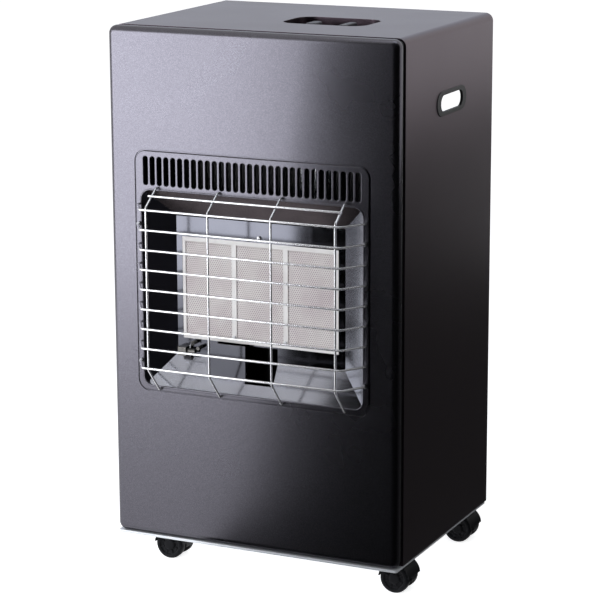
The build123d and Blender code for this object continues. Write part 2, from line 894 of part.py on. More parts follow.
def make_thermocouple():
    tip = (thermocouple_x, burner_face - thermocouple_reach, thermocouple_z)
    shank = (thermocouple_x, burner_face + thermocouple_back, thermocouple_z)
    return rod(tip, shank, thermocouple_radius)


def make_pilot_pipe():
    half = pilot_block / 2
    start_x = knob_x - valve_width / 2
    start_y = valve_front + pilot_port_inset
    start_z = port_z + pilot_port_rise
    run_x = start_x - pilot_pipe_offset
    path = [
        (start_x, start_y, start_z),
        (run_x, start_y, start_z),
        (run_x, pipe_run_y, start_z),
        (run_x, pipe_run_y, pilot_z),
        (pilot_x, pipe_run_y, pilot_z),
        (pilot_x, burner_face - reflector_sheet, pilot_z),
    ]
    return bent_bar(path, half, pilot_pipe_diameter / 2)


def make_thermocouple_lead():
    start_x = knob_x - valve_width / 2 + lead_port_inset
    run_x = start_x - lead_run_offset
    z = valve_bottom - lead_port_inset
    path = [
        (start_x, knob_y, valve_bottom),
        (start_x, knob_y, z),
        (run_x, knob_y, z),
        (run_x, pipe_run_y, z),
        (run_x, pipe_run_y, thermocouple_z),
        (thermocouple_x, pipe_run_y, thermocouple_z),
        (thermocouple_x, burner_face + thermocouple_back, thermocouple_z),
    ]
    bends = [lead_first_bend, lead_bend, lead_bend, lead_bend, lead_bend]
    return bent_bar(path, bends, thermocouple_lead_diameter / 2)


def make_ignition_lead():
    run_x = button_x - ignition_lead_offset
    start_z = tray_under - igniter_length
    z = start_z - lead_bend * 2
    path = [
        (button_x, button_y, start_z),
        (button_x, button_y, z),
        (run_x, button_y, z),
        (run_x, pipe_run_y, z),
        (run_x, pipe_run_y, electrode_z),
        (electrode_x, pipe_run_y, electrode_z),
        (electrode_x, burner_face + electrode_back, electrode_z),
    ]
    return bent_bar(path, lead_bend, ignition_lead_diameter / 2)


# ---------------------------------------------------------------- inside of the cabinet
def make_heat_shield():
    """Wall between the burner and the bottle bay, flanged to the shell and the base."""
    inside = shell_inside
    wall = block(-inside, inside, heat_shield_y, shield_back, 0, heat_shield_top)
    deep = heat_shield_y + heat_shield_flange
    foot = shell_foot_flange
    wall -= block(-inside - 1, -half_width + foot, heat_shield_y - 1, deep + 1, -1, sheet)
    wall -= block(half_width - foot, inside + 1, heat_shield_y - 1, deep + 1, -1, sheet)
    for side in (-1, 1):
        spans = sorted((side * inside, side * (inside - sheet)))
        wall += block(spans[0], spans[1], heat_shield_y, deep, sheet, heat_shield_top)
    wall += block(-half_width + foot, half_width - foot, heat_shield_y, deep, 0, sheet)
    wall += block(-inside, inside, heat_shield_y, deep, heat_shield_top - sheet, heat_shield_top)
    return wall


def make_base_plate():
    """Zinc-plated tray under the body, its rim turned down and a round seat pressed up."""
    width = cabinet_width - 2 * base_inset
    front = panel_face + base_inset
    back = shell_depth - base_inset
    spot = Pos(0, (front + back) / 2, -base_rim)
    plate = spot * extrude(RectangleRounded(width, back - front, base_corner), amount=base_rim)
    wall = base_sheet
    inner = RectangleRounded(width - 2 * wall, back - front - 2 * wall, base_corner - wall)
    plate -= spot * extrude(inner, amount=base_rim - wall)
    under = (0, bottle_centre_y, -base_rim)
    plate += rod((0, bottle_centre_y, -wall), (0, bottle_centre_y, bottle_pad_height), bottle_pad_radius)
    plate -= rod(under, (0, bottle_centre_y, bottle_pad_height - wall), bottle_pad_radius - wall)
    for x, y in corners.values():
        plate -= rod((x, y, -base_rim - 1), (x, y, 1), stem_radius + fit_clearance)
    for x, y in base_screw_spots():
        plate -= rod((x, y, -base_rim - 1), (x, y, 1), base_screw_radius + screw_clearance)
    return plate


def make_bottle_guides():
    """Low angles that keep the bottle centred on the base."""
    guides = []
    for side in (-1, 1):
        inner = bottle_diameter / 2 + bottle_clearance
        spans = sorted((side * inner, side * (inner + sheet)))
        y0 = bottle_centre_y - bottle_diameter / 4
        y1 = bottle_centre_y + bottle_diameter / 4
        guide = block(spans[0], spans[1], y0, y1, 0, bottle_guide_height)
        foot = sorted((side * (inner + sheet), side * (inner + bottle_guide_height)))
        guide += block(foot[0], foot[1], y0, y1, 0, sheet)
        guides.append(guide)
    return guides


def cover_tab_spots():
    return [side * cover_width / 4 for side in (-1, 1)]


def cover_tab_z():
    return cover_top - cover_rim / 2


def make_cover_rail():
    """Cross rail over the top of the rear opening, slotted for the cover's two tabs."""
    inside = shell_inside
    back = shell_depth - sheet
    low = cover_rail_top - cover_rail_height
    rail = block(-inside, inside, back - sheet, back, low, cover_rail_top)
    rail += block(-inside, inside, back - cover_rail_flange, back, cover_rail_top - sheet, cover_rail_top)
    slot_low = cover_tab_z() - joint_gap
    slot_high = cover_tab_z() + cover_tab_slot_above
    half = cover_tab_width / 2 + cover_tab_slot_clear
    for x in cover_tab_spots():
        rail -= block(x - half, x + half, back - 2 * sheet, back + 1, slot_low, slot_high)
    return rail


def make_rear_cover():
    """Lift-off dished cover with vent slots."""
    low = cover_bottom
    high = cover_top
    rim = cover_rim
    rise = cover_back - cover_seat
    plate = upright(rounded(cover_width, low, high, cover_corner), cover_seat, cover_seat + sheet)
    width = cover_width - 2 * rim
    length = high - low - 2 * rim
    middle = (low + high) / 2
    run = 1.2 * sheet

    def dish(width, length, height):
        outline = RectangleRounded(width, length, 2 * cover_corner)
        solid = extrude(outline, amount=height, taper=cover_draft)
        return Pos(0, cover_seat, middle) * Rot(-90, 0, 0) * solid

    hollow = dish(width - 2 * run, length - 2 * run, rise - sheet)
    cover = plate + dish(width, length, rise)
    cover -= hollow
    mouth = RectangleRounded(width - 2 * run, length - 2 * run, 2 * cover_corner)
    cover -= Pos(0, cover_seat + 0.01, middle) * Rot(90, 0, 0) * extrude(mouth, amount=1)
    for group in (-1, 1):
        centre = middle + group * length * cover_vent_share
        for column in range(cover_slot_columns):
            x = (column - (cover_slot_columns - 1) / 2) * cover_slot_spread
            for row in range(cover_slot_rows):
                z = centre + (row - (cover_slot_rows - 1) / 2) * cover_slot_pitch
                slot = stadium(x, z, cover_slot_length, cover_slot_width)
                cover -= upright(slot, cover_back - 3 * sheet, cover_back + 1)
    for x in cover_tab_spots():
        half = cover_tab_width / 2
        cover += block(x - half, x + half, cover_seat - cover_tab_reach, cover_seat + sheet / 2,
                       cover_tab_z(), cover_tab_z() + sheet)
    return cover


def make_grip(side):
    """Black moulded trim of a hand hole: a rim outside and a rounded collar through the wall."""
    rim_outline = stadium(grip_centre_y, grip_centre_z, grip_rim_length, grip_rim_height)
    clear = fit_clearance * 2
    collar_outline = stadium(
        grip_centre_y, grip_centre_z, grip_wall_length - 2 * clear, grip_wall_height - 2 * clear
    )
    hole = stadium(grip_centre_y, grip_centre_z, grip_slot_length, grip_slot_height)
    inside = half_width - grip_collar_depth
    rim = sideways(rim_outline, half_width, half_width + grip_rim_thickness)
    rim = chamfer(rim.faces().sort_by(Axis.X)[-1].edges(), grip_rim_thickness * 0.5)
    grip = rim + sideways(collar_outline, inside, half_width)
    grip -= sideways(hole, inside - 1, half_width + grip_rim_thickness + 1)
    if side < 0:
        grip = mirror(grip, about=Plane.YZ)
    return grip


# ---------------------------------------------------------------- controls
def tray_outline(grow=0.0):
    corner = tray_corner + grow
    outline = RectangleRounded(tray_length + 2 * grow, tray_width + 2 * grow, corner)
    return Pos(tray_centre_x, tray_centre_y) * outline


def button_outline(grow=0.0):
    slot = SlotOverall(button_length + 2 * grow, button_width + 2 * grow)
    return Pos(button_x, button_y) * Rot(0, 0, 90) * slot


def make_tray():
    """Moulded recess for the controls, hung by its flange from the underside of the top."""
    under_top = body_height - sheet
    clear = fit_clearance * 2
    walls = Pos(0, 0, tray_under) * extrude(tray_outline(-clear), amount=body_height - tray_under)
    walls += Pos(0, 0, under_top - tray_wall) * extrude(tray_outline(tray_flange), amount=tray_wall)
    walls -= Pos(0, 0, tray_floor) * extrude(tray_outline(-tray_wall - clear), amount=tray_depth + 1)
    collar = button_outline(joint_gap + button_collar_wall)
    walls += Pos(0, 0, tray_floor) * extrude(collar, amount=button_collar_height)
    walls -= Pos(0, 0, tray_floor) * extrude(button_outline(joint_gap), amount=tray_depth)
    for x, y, radius in ((knob_x, knob_y, spindle_radius), (button_x, button_y, plunger_radius)):
        walls -= rod((x, y, tray_under - 1), (x, y, tray_floor + 1), radius + joint_gap)
    return walls


def make_valve():
    """Brass valve block with a bearing for the spindle and stubs for the pipes."""
    half = valve_width / 2
    body = block(knob_x - half, knob_x + half, valve_front, valve_back, valve_bottom, valve_top)
    body = fillet(body.edges().filter_by(Axis.Z), valve_corner)
    bearing = rod((knob_x, knob_y, valve_top - valve_bearing_depth), (knob_x, knob_y, valve_top + 1),
                  spindle_radius + fit_clearance)
    return body - bearing


def make_valve_bracket():
    """Bridge that hangs the valve under the control tray."""
    half = valve_width / 2 + bracket_margin
    y0 = valve_front + bracket_inset
    y1 = valve_back - bracket_inset
    top = valve_top + bracket_sheet
    bridge = block(knob_x - half, knob_x + half, y0, y1, valve_top, top)
    for side in (-1, 1):
        spans = sorted((knob_x + side * half, knob_x + side * (half - bracket_sheet)))
        bridge += block(spans[0], spans[1], y0, y1, valve_top, tray_under)
    hole = rod((knob_x, knob_y, valve_top - 1), (knob_x, knob_y, top + 1), spindle_radius + joint_gap)
    return bridge - hole


def spindle_outline(grow=0.0):
    """The spindle's D section: a circle with one flat, for the knob's grip on it."""
    radius = spindle_radius + grow
    disc = Circle(radius)
    cut = Pos(0, 2 * radius - spindle_flat) * Rectangle(4 * radius, 2 * radius)
    return disc - cut


def make_spindle():
    low = valve_top - valve_bearing_depth + joint_gap
    step = knob_bottom - knob_travel - joint_gap
    shaft = rod((knob_x, knob_y, low), (knob_x, knob_y, step), spindle_radius)
    top = knob_top - spindle_top_gap - knob_travel
    upper = Pos(knob_x, knob_y, step) * extrude(spindle_outline(), amount=top - step)
    return shaft + upper


def make_knob():
    """Push-and-turn knob: a round skirt with a raised finger bar."""
    skirt = Pos(knob_x, knob_y, knob_bottom) * extrude(Circle(knob_skirt_radius), amount=knob_skirt_height)
    skirt = fillet(skirt.edges().sort_by(Axis.Z)[-1:], knob_skirt_height * 0.4)
    disc = Circle(knob_grip_radius)
    side_cut = knob_grip_width / 2 + knob_grip_radius
    bar = disc - Pos(0, side_cut) * Rectangle(3 * knob_grip_radius, 2 * knob_grip_radius)
    bar -= Pos(0, -side_cut) * Rectangle(3 * knob_grip_radius, 2 * knob_grip_radius)
    grip = Pos(knob_x, knob_y, knob_bottom) * Rot(0, 0, 90) * extrude(bar, amount=knob_height)
    grip = fillet(grip.edges().group_by(Axis.Z)[-1], knob_edge_radius)
    knob = skirt + grip
    bore_top = knob_top - spindle_top_gap + joint_gap
    bore = extrude(spindle_outline(fit_clearance), amount=bore_top - knob_bottom + 1)
    return knob - Pos(knob_x, knob_y, knob_bottom - 1) * bore


def make_igniter():
    low = tray_under - igniter_length
    body = rod((button_x, button_y, low), (button_x, button_y, tray_under), igniter_radius)
    bore_floor = button_top - button_height - plunger_length - button_travel - joint_gap
    bore = rod((button_x, button_y, bore_floor), (button_x, button_y, tray_under + 1),
               plunger_radius + fit_clearance)
    return body - bore


def make_button():
    """Piezo push button: an oval cap on a round plunger."""
    cap_bottom = button_top - button_height
    cap = Pos(0, 0, cap_bottom) * extrude(button_outline(), amount=button_height)
    cap = fillet(cap.edges().group_by(Axis.Z)[-1], button_edge_radius)
    low = (button_x, button_y, cap_bottom - plunger_length)
    return cap + rod(low, (button_x, button_y, cap_bottom), plunger_radius)


def inlet_points():
    z = port_z + inlet_port_rise
    return (knob_x, valve_back, z), (knob_x, valve_back + inlet_pipe_reach, z)


def make_inlet_pipe():
    start, end = inlet_points()
    return rod(start, end, inlet_pipe_diameter / 2)


def make_hose_nozzle():
    """Brass union and plain hose tail on the inlet pipe, reached from the open back."""
    x, y, z = inlet_points()[-1]
    nut_end = y + nozzle_nut_length
    tail_end = nut_end + nozzle_length + nozzle_tip
    tail = rod((x, nut_end, z), (x, tail_end, z), nozzle_radius)
    tail = chamfer(tail.edges().group_by(Axis.Y)[-1], nozzle_tip)
    nozzle = hexagon_bar((x, y, z), (x, nut_end, z), nozzle_nut_across) + tail
    return nozzle - rod((x, y + nozzle_plug, z), (x, tail_end + 1, z), nozzle_radius - nozzle_wall)


# ---------------------------------------------------------------- casters
def make_caster_sockets():
    """Steel sleeves on the base plate that take the caster stems."""
    inner = stem_radius + fit_clearance
    return [ring((x, y, 0), (x, y, socket_height), inner + socket_wall, inner) for x, y in corners.values()]


def make_caster_stems():
    stems = []
    for x, y in corners.values():
        stem = rod((x, y, swivel_top - stem_depth), (x, y, socket_height - stem_short), stem_radius)
        seat = stem_seat
        stem += rod((x, y, seat - stem_flange_height), (x, y, seat), stem_flange_radius)
        stems.append(stem)
    return stems


def make_caster_housing(x, y):
    """Nylon hood with the stem boss in front and a stub axle each side of its web."""
    wheel_x = x + caster_trail
    centre = (wheel_x, wheel_centre_z)
    half_total = wheel_gap / 2 + wheel_width
    hood = Pos(*centre) * (Circle(hood_outer) - Circle(hood_inner))
    below = Rectangle(3 * hood_outer, 2 * hood_outer)
    hood -= Pos(wheel_x, wheel_centre_z - hood_outer + hood_open_rise) * below
    housing = upright(hood, y - half_total, y + half_total)
    web_half = wheel_gap / 2 - wheel_side_clear
    web = Pos(*centre) * Circle(hood_inner + web_bite)
    web -= Pos(wheel_x, wheel_centre_z - hood_outer - web_drop) * below
    housing += upright(web, y - web_half, y + web_half)
    boss_low = swivel_top - stem_depth - boss_floor
    housing += rod((x, y, boss_low), (x, y, swivel_top), boss_radius)
    reach = web_half + axle_depth
    housing += rod((wheel_x, y - reach, wheel_centre_z), (wheel_x, y + reach, wheel_centre_z), axle_radius)
    bore_low = swivel_top - stem_depth - joint_gap
    return housing - rod((x, y, bore_low), (x, y, swivel_top + 5), stem_radius + fit_clearance)


def make_wheel(x, y, side):
    """One wheel: a blind-bored disc with a rounded tread and a dished outer face."""
    inner = wheel_gap / 2
    disc = Circle(wheel_radius)
    wheel = Rot(90, 0, 0) * extrude(disc, amount=wheel_width)
    outer_face = wheel.faces().sort_by(Axis.Y)[0]
    wheel = fillet(outer_face.edges(), wheel_edge_radius)
    groove = Circle(wheel_radius - wheel_rim) - Circle(axle_radius + wheel_hub)
    dish = Pos(0, -wheel_width + wheel_dish, 0) * Rot(90, 0, 0) * extrude(groove, amount=2 * wheel_dish)
    bore_depth = axle_depth + joint_gap - wheel_side_clear
    bore = Rot(90, 0, 0) * extrude(Circle(axle_radius + fit_clearance), amount=bore_depth)
    wheel = wheel - dish - bore
    turn = Rot(0, 0, 0) if side < 0 else Rot(0, 0, 180)
    return Pos(x + caster_trail, y + side * inner, wheel_centre_z) * turn * wheel


# ---------------------------------------------------------------- fasteners
def make_panel_screws():
    """Screws from inside the shell's front flange into the panel's back flange."""
    screws = []
    for x, z in panel_screw_spots():
        tip = panel_back - 2 * sheet
        screw = rod((x, tip, z), (x, sheet, z), panel_screw_radius)
        screws.append(screw + rod((x, sheet, z), (x, sheet + panel_screw_head, z), panel_screw_head_radius))
    return screws


def make_base_screws():
    screws = []
    for x, y in base_screw_spots():
        low = -base_sheet
        screw = rod((x, y, low), (x, y, 3 * sheet), base_screw_radius)
        screws.append(screw + rod((x, y, low - base_screw_head), (x, y, low), base_screw_head_radius))
    return screws


def make_burner_screws():
    """Screws that show on the deflector plate and on the burner frame."""
    spot_z = housing_top + 2 * burner_screw_head_radius
    spots = [(0, burner_face - reflector_sheet, spot_z)]
    spots += [(x, burner_face - frame_sheet, frame_screw_z()) for x in frame_screw_spots()]
    screws = []
    for x, y, z in spots:
        reach = burner_face - fit_clearance
        radius = burner_screw_radius - fit_clearance
        screw = rod((x, y, z), (x, reach, z), radius)
        head_radius = burner_screw_head_radius if z == spot_z else burner_screw_radius * 1.5
        screws.append(screw + rod((x, y - burner_screw_head, z), (x, y, z), head_radius))
    return screws


# ---------------------------------------------------------------- writing the pieces
os.makedirs("parts", exist_ok=True)
stand = Location((0, depth_shift, floor_clearance))


def save(name, shape):
    """Move one piece or a group of like pieces onto the casters and write its file."""
    solids = shape if isinstance(shape, list) else [shape]
    moved = [stand * solid for solid in solids]
    export_step(moved[0] if len(moved) == 1 else Compound(children=moved), f"parts/{name}.step")


save("cabinet_shell", make_shell())
save("front_panel", make_front_panel())
save("panel_seal", make_panel_seal())
save("louvre_surround", make_surround())
save("wire_guard", make_guard())
save("guard_clips", make_guard_clips())
for side in ("left", "right", "top", "bottom"):
    save(f"reflector_{side}", make_reflector(side))
save("deflector_plate", make_deflector())
save("burner_back_plate", make_back_plate())
save("pilot_shield", make_pilot_shield())
save("burner_frame", make_burner_frame())
for name, x in zip(("left", "centre", "right"), plaque_centres):
    save(f"ceramic_plaque_{name}", make_plaque(x))
save("plaque_gaskets", make_gaskets())
save("burner_housing", make_housing())
save("mixing_tubes", make_mixing_tubes())
save("injector_rail", make_injector_rail())
save("injectors", make_injectors())
save("gas_pipes", [*make_supply_pipes(), make_pilot_pipe(), make_inlet_pipe()])
save("burner_stays", make_burner_stays())
save("pilot_burner", make_pilot_burner())
save("electrode_insulator", make_electrode())
save("electrode_pin", make_electrode_pin())
save("thermocouple", make_thermocouple() + make_thermocouple_lead())
save("ignition_lead", make_ignition_lead())
save("heat_shield", make_heat_shield())
save("base_plate", make_base_plate())
save("bottle_guides", make_bottle_guides())
save("cover_rail", make_cover_rail())
save("rear_cover", make_rear_cover())
save("hand_grip_left", make_grip(-1))
save("hand_grip_right", make_grip(1))
save("control_tray", make_tray())
save("gas_valve", make_valve())
save("valve_bracket", make_valve_bracket())
save("valve_spindle", make_spindle())
save("control_knob", make_knob())
save("igniter_body", make_igniter())
save("igniter_button", make_button())
save("hose_nozzle", make_hose_nozzle())
save("caster_sockets", make_caster_sockets())
save("caster_stems", make_caster_stems())
for name, (x, y) in corners.items():
    save(f"caster_{name}_housing", make_caster_housing(x, y))
    save(f"caster_{name}_wheel_a", make_wheel(x, y, -1))
    save(f"caster_{name}_wheel_b", make_wheel(x, y, 1))
save("screws", [*make_panel_screws(), *make_base_screws(), *make_burner_screws()])
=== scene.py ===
# %% [markdown]
# # A portable gas heater, dressed for its picture
# The solids come from the CAD model and already have the right sizes. This script gives them a camera, a small
# studio, and finishes made of shader nodes. It replaces the few pieces whose fine shape is worth more faces, the
# perforated ceramic plaques, the wheels and the screws, and adds ribs and a pointer to the control knob.

# %% Load the frame
import bpy
import bmesh
import json
import math
from mathutils import Matrix, Vector


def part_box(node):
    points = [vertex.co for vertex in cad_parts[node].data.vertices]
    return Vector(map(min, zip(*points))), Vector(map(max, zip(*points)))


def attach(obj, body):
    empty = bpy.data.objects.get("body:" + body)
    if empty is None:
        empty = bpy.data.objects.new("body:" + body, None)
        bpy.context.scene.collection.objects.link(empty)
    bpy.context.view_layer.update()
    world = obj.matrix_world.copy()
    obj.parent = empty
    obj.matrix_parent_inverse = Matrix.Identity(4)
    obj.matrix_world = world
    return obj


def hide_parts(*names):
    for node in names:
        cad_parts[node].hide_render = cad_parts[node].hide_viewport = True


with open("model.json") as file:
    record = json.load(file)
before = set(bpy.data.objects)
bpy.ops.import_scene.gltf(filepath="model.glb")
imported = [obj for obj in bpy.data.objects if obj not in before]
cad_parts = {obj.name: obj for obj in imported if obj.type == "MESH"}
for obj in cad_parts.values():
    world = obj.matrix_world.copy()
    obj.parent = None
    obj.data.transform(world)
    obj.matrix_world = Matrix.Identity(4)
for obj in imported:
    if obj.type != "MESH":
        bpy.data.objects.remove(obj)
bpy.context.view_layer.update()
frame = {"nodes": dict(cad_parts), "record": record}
nodes = frame["nodes"]
record = frame["record"]
scene = bpy.context.scene

# %% [markdown]
# ## Camera
# A product camera stands well back with a long lens, so the cabinet's upright edges stay nearly parallel. Ours is
# a little above the top and to the right, with no shift and everything in focus.

# %% Camera
def aim(yaw, pitch, roll):
    """Camera axes for a heading right of +Y, a downward pitch and a roll, in degrees."""
    yaw, pitch, roll = (math.radians(v) for v in (yaw, pitch, roll))
    forward = Vector((math.sin(yaw) * math.cos(pitch), math.cos(yaw) * math.cos(pitch), -math.sin(pitch)))
    right = Vector((math.cos(yaw), -math.sin(yaw), 0))
    up = right.cross(forward)
    turned_right = right * math.cos(roll) + up * math.sin(roll)
    turned_up = up * math.cos(roll) - right * math.sin(roll)
    return Matrix((turned_right, turned_up, -forward)).transposed().to_4x4()


focal_pixels = 2408.4
frame_pixels = 600
lens_data = bpy.data.cameras.new("camera")
lens_data.sensor_fit = "HORIZONTAL"
lens_data.sensor_width = 36.0
lens_data.lens = focal_pixels / frame_pixels * lens_data.sensor_width
lens_data.clip_start = 0.05
lens_data.clip_end = 60.0
camera = bpy.data.objects.new("camera", lens_data)
camera.matrix_world = Matrix.Translation((1.3706, -2.93035, 1.1239)) @ aim(-25.12, 13.274, -0.234)
scene.collection.objects.link(camera)
scene.camera = camera
scene.view_settings.view_transform = "Standard"
print("lens", round(lens_data.lens, 1), "mm")

# %% [markdown]
# ## Node helpers
# Shader trees are easier to read when a node and its settings fit on one line. `put` adds a node, and `wire`
# joins an output to an input.

# %% Node helpers
def put(tree, kind, **settings):
    """Add a node. Settings named after sockets fill them, and the rest are properties of the node."""
    node = tree.nodes.new(kind)
    for key, value in settings.items():
        socket = key.replace("_", " ")
        found = [s for s in node.inputs if s.name.lower() == socket.lower() and s.enabled]
        if found and not hasattr(type(node), key):
            found[0].default_value = value
        else:
            setattr(node, key, value)
    return node


def wire(tree, start, end):
    tree.links.new(start, end)


def maths(tree, operation, a, b=None, clamp=False):
    """One maths node. Each operand is a number or a socket."""
    node = tree.nodes.new("ShaderNodeMath")
    node.operation = operation
    node.use_clamp = clamp
    for socket, value in zip(node.inputs, (a, b)):
        if value is None:
            continue
        if isinstance(value, (int, float)):
            socket.default_value = value
        else:
            tree.links.new(value, socket)
    return node.outputs[0]


def blend_colour(tree, mask, a, b):
    """Mix two colours by a mask. Each colour is a tuple or a socket."""
    node = tree.nodes.new("ShaderNodeMix")
    node.data_type = "RGBA"
    tree.links.new(mask, node.inputs[0])
    for socket, value in zip((node.inputs[6], node.inputs[7]), (a, b)):
        if isinstance(value, tuple):
            socket.default_value = (*value, 1.0)
        else:
            tree.links.new(value, socket)
    return node.outputs[2]


def spread(tree, value, low, high):
    """Map 0 to 1 onto low to high."""
    node = tree.nodes.new("ShaderNodeMapRange")
    node.inputs["To Min"].default_value = low
    node.inputs["To Max"].default_value = high
    tree.links.new(value, node.inputs["Value"])
    return node.outputs["Result"]


# %% [markdown]
# ## Studio
# One large softbox to the left lights the front, and two softer ones fill it from the front and from above. The
# world is a dim even fill, and reads as white to the camera and in reflections. The floor is pale, keeps the
# heater's shadow, and is white where nothing shades it.

# %% World
def background_rays(tree):
    """1 for the rays that should see the white background: from the camera, from gloss and through glass."""
    path = put(tree, "ShaderNodeLightPath")
    seen = maths(tree, "MAXIMUM", path.outputs["Is Camera Ray"], path.outputs["Is Glossy Ray"])
    return maths(tree, "MAXIMUM", seen, path.outputs["Is Transmission Ray"])


world = bpy.data.worlds.new("studio")
scene.world = world
world.use_nodes = True
tree = world.node_tree
tree.nodes.clear()
fill = put(tree, "ShaderNodeBackground", Color=(0.95, 0.97, 1.0, 1.0), Strength=0.30)
white = put(tree, "ShaderNodeBackground", Color=(1.0, 1.0, 1.0, 1.0), Strength=1.0)
either = put(tree, "ShaderNodeMixShader")
out = put(tree, "ShaderNodeOutputWorld")
wire(tree, background_rays(tree), either.inputs[0])
wire(tree, fill.outputs[0], either.inputs[1])
wire(tree, white.outputs[0], either.inputs[2])
wire(tree, either.outputs[0], out.inputs[0])


# %% Floor
def make_floor():
    size = 12.0
    mesh = bpy.data.meshes.new("floor")
    corners = [(-size, -size, 0), (size, -size, 0), (size, size, 0), (-size, size, 0)]
    mesh.from_pydata(corners, [], [(0, 1, 2, 3)])
    floor = bpy.data.objects.new("floor", mesh)
    scene.collection.objects.link(floor)
    material = bpy.data.materials.new("pale_floor")
    material.use_nodes = True
    tree = material.node_tree
    tree.nodes.clear()
    matte = put(tree, "ShaderNodeBsdfDiffuse", Color=(0.93, 0.93, 0.93, 1.0))
    glow = put(tree, "ShaderNodeEmission", Color=(1.0, 1.0, 1.0, 1.0), Strength=0.80)
    both = put(tree, "ShaderNodeAddShader")
    choice = put(tree, "ShaderNodeMixShader")
    end = put(tree, "ShaderNodeOutputMaterial")
    wire(tree, matte.outputs[0], both.inputs[0])
    wire(tree, glow.outputs[0], both.inputs[1])
    wire(tree, background_rays(tree), choice.inputs[0])
    wire(tree, matte.outputs[0], choice.inputs[1])
    wire(tree, both.outputs[0], choice.inputs[2])
    wire(tree, choice.outputs[0], end.inputs[0])
    mesh.materials.append(material)
    return floor


make_floor()


# %% Lamps
def softbox(name, centre, target, width, height, watts, colour=(1.0, 1.0, 1.0)):
    data = bpy.data.lights.new(name, "AREA")
    data.shape = "RECTANGLE"
    data.size = width
    data.size_y = height
    data.energy = watts
    data.color = colour
    lamp = bpy.data.objects.new(name, data)
    lamp.location = centre
    lamp.rotation_euler = (Vector(target) - Vector(centre)).to_track_quat("-Z", "Y").to_euler()
    scene.collection.objects.link(lamp)
    return lamp


key_colour = (0.94, 0.965, 1.0)
key_height = 0.66
key_left = softbox("key_left", (-1.30, -1.50, key_height), (-0.60, -0.05, key_height), 1.35, 1.3, 31.0, key_colour)
key_left.visible_glossy = False
front_fill = softbox("front_fill", (0.9, -3.4, 1.6), (0, 0, 0.4), 1.2, 1.2, 20.0)
front_fill.visible_glossy = False
softbox("overhead", (0.3, -0.4, 2.6), (0, 0, 0.5), 1.6, 1.6, 10.0, (0.80, 0.90, 1.0))

# %% [markdown]
# Gloss needs something dark to reflect as well as something bright. A glowing card where the key lamp stands gives
# the sheen, and dark cards to the right let it fade to black across the front and down the side, as in any picture
# of dark paint. A pale blue one behind cools the top. The cards are seen only in reflections.

# %% Reflection cards
def card(name, points, glow=0.0, colour=(1.0, 1.0, 1.0)):
    """A flat card that only reflections see, black unless it glows."""
    mesh = bpy.data.meshes.new(name)
    mesh.from_pydata(points, [], [tuple(range(len(points)))])
    piece = bpy.data.objects.new(name, mesh)
    scene.collection.objects.link(piece)
    material = bpy.data.materials.new(name)
    material.use_nodes = True
    tree = material.node_tree
    tree.nodes.clear()
    face = put(tree, "ShaderNodeEmission", Color=(*colour, 1.0), Strength=glow)
    material.cycles.emission_sampling = "NONE"
    end = put(tree, "ShaderNodeOutputMaterial")
    wire(tree, face.outputs[0], end.inputs[0])
    mesh.materials.append(material)
    piece.visible_camera = False
    piece.visible_diffuse = False
    piece.visible_shadow = False
    piece.visible_transmission = False
    return piece


def card_at_lamp(name, lamp, glow):
    """A glowing card with the place and size of a softbox."""
    across, up = lamp.data.size / 2, lamp.data.size_y / 2
    corners = [(-across, -up, 0), (across, -up, 0), (across, up, 0), (-across, up, 0)]
    place = Matrix.Translation(lamp.location) @ lamp.rotation_euler.to_matrix().to_4x4()
    return card(name, [place @ Vector(corner) for corner in corners], glow, key_colour)


def upright_card_across(name, x_low, x_high, y, z_low, z_high, glow=0.0, colour=(1.0, 1.0, 1.0)):
    """A card that stands square to Y."""
    return card(name, [(x_low, y, z_low), (x_high, y, z_low), (x_high, y, z_high), (x_low, y, z_high)], glow, colour)


def upright_card_along(name, x, y_low, y_high, z_high, glow=0.0):
    """A card that stands on the floor, square to X."""
    return card(name, [(x, y_low, 0), (x, y_high, 0), (x, y_high, z_high), (x, y_low, z_high)], glow)


# %% The cards round the cabinet
key_glow = 6.9
card_at_lamp("key_card", key_left, key_glow)

front_y = -0.50
front_edge_low = -0.165
front_edge_high = 0.055
front_height = 2.0
right_end = 1.4
card("card_front", [(front_edge_low, front_y, 0), (right_end, front_y, 0), (right_end, front_y, front_height),
                    (front_edge_high, front_y, front_height)])

floor_lift = 0.002
foot_of_panel = -0.165
card("card_front_low", [(-0.10, foot_of_panel, floor_lift), (front_edge_low, front_y, floor_lift),
                        (right_end, front_y, floor_lift), (right_end, foot_of_panel, floor_lift)])
upright_card_along("card_corner", 0.50, front_y, -0.12, 1.40)

side_x = 0.62
side_height = 0.50
side_end = 1.90
side_glow = 0.045
foot_of_side = 0.215
upright_card_along("card_side", side_x, -0.30, side_end, side_height, side_glow)
card("card_side_low", [(foot_of_side, -0.18, floor_lift), (side_x, -0.18, floor_lift),
                       (side_x, side_end, floor_lift), (foot_of_side, side_end, floor_lift)], side_glow)

pale_blue = (0.80, 0.85, 0.95)
upright_card_across("card_behind", -3.4, 0.4, 3.0, 0.85, 3.2, 1.0, pale_blue)

# %% [markdown]
# ## Shared effects
# Paint, plated steel and plastic all need the same few things: softened edges, fine speckle, brushed grain and a
# little settled dust. Each is one shader group with named inputs, built once and placed with its own values. A
# group gives out only masks and normals, and the shader that uses them stays in the material.

# %% Shader groups
def new_group(name, inputs, outputs):
    group = bpy.data.node_groups.new(name, "ShaderNodeTree")
    for label, value in inputs.items():
        socket = group.interface.new_socket(name=label, in_out="INPUT", socket_type="NodeSocketFloat")
        socket.default_value = value
    for label, kind in outputs.items():
        group.interface.new_socket(name=label, in_out="OUTPUT", socket_type=kind)
    start = group.nodes.new("NodeGroupInput")
    end = group.nodes.new("NodeGroupOutput")
    return group, start, end


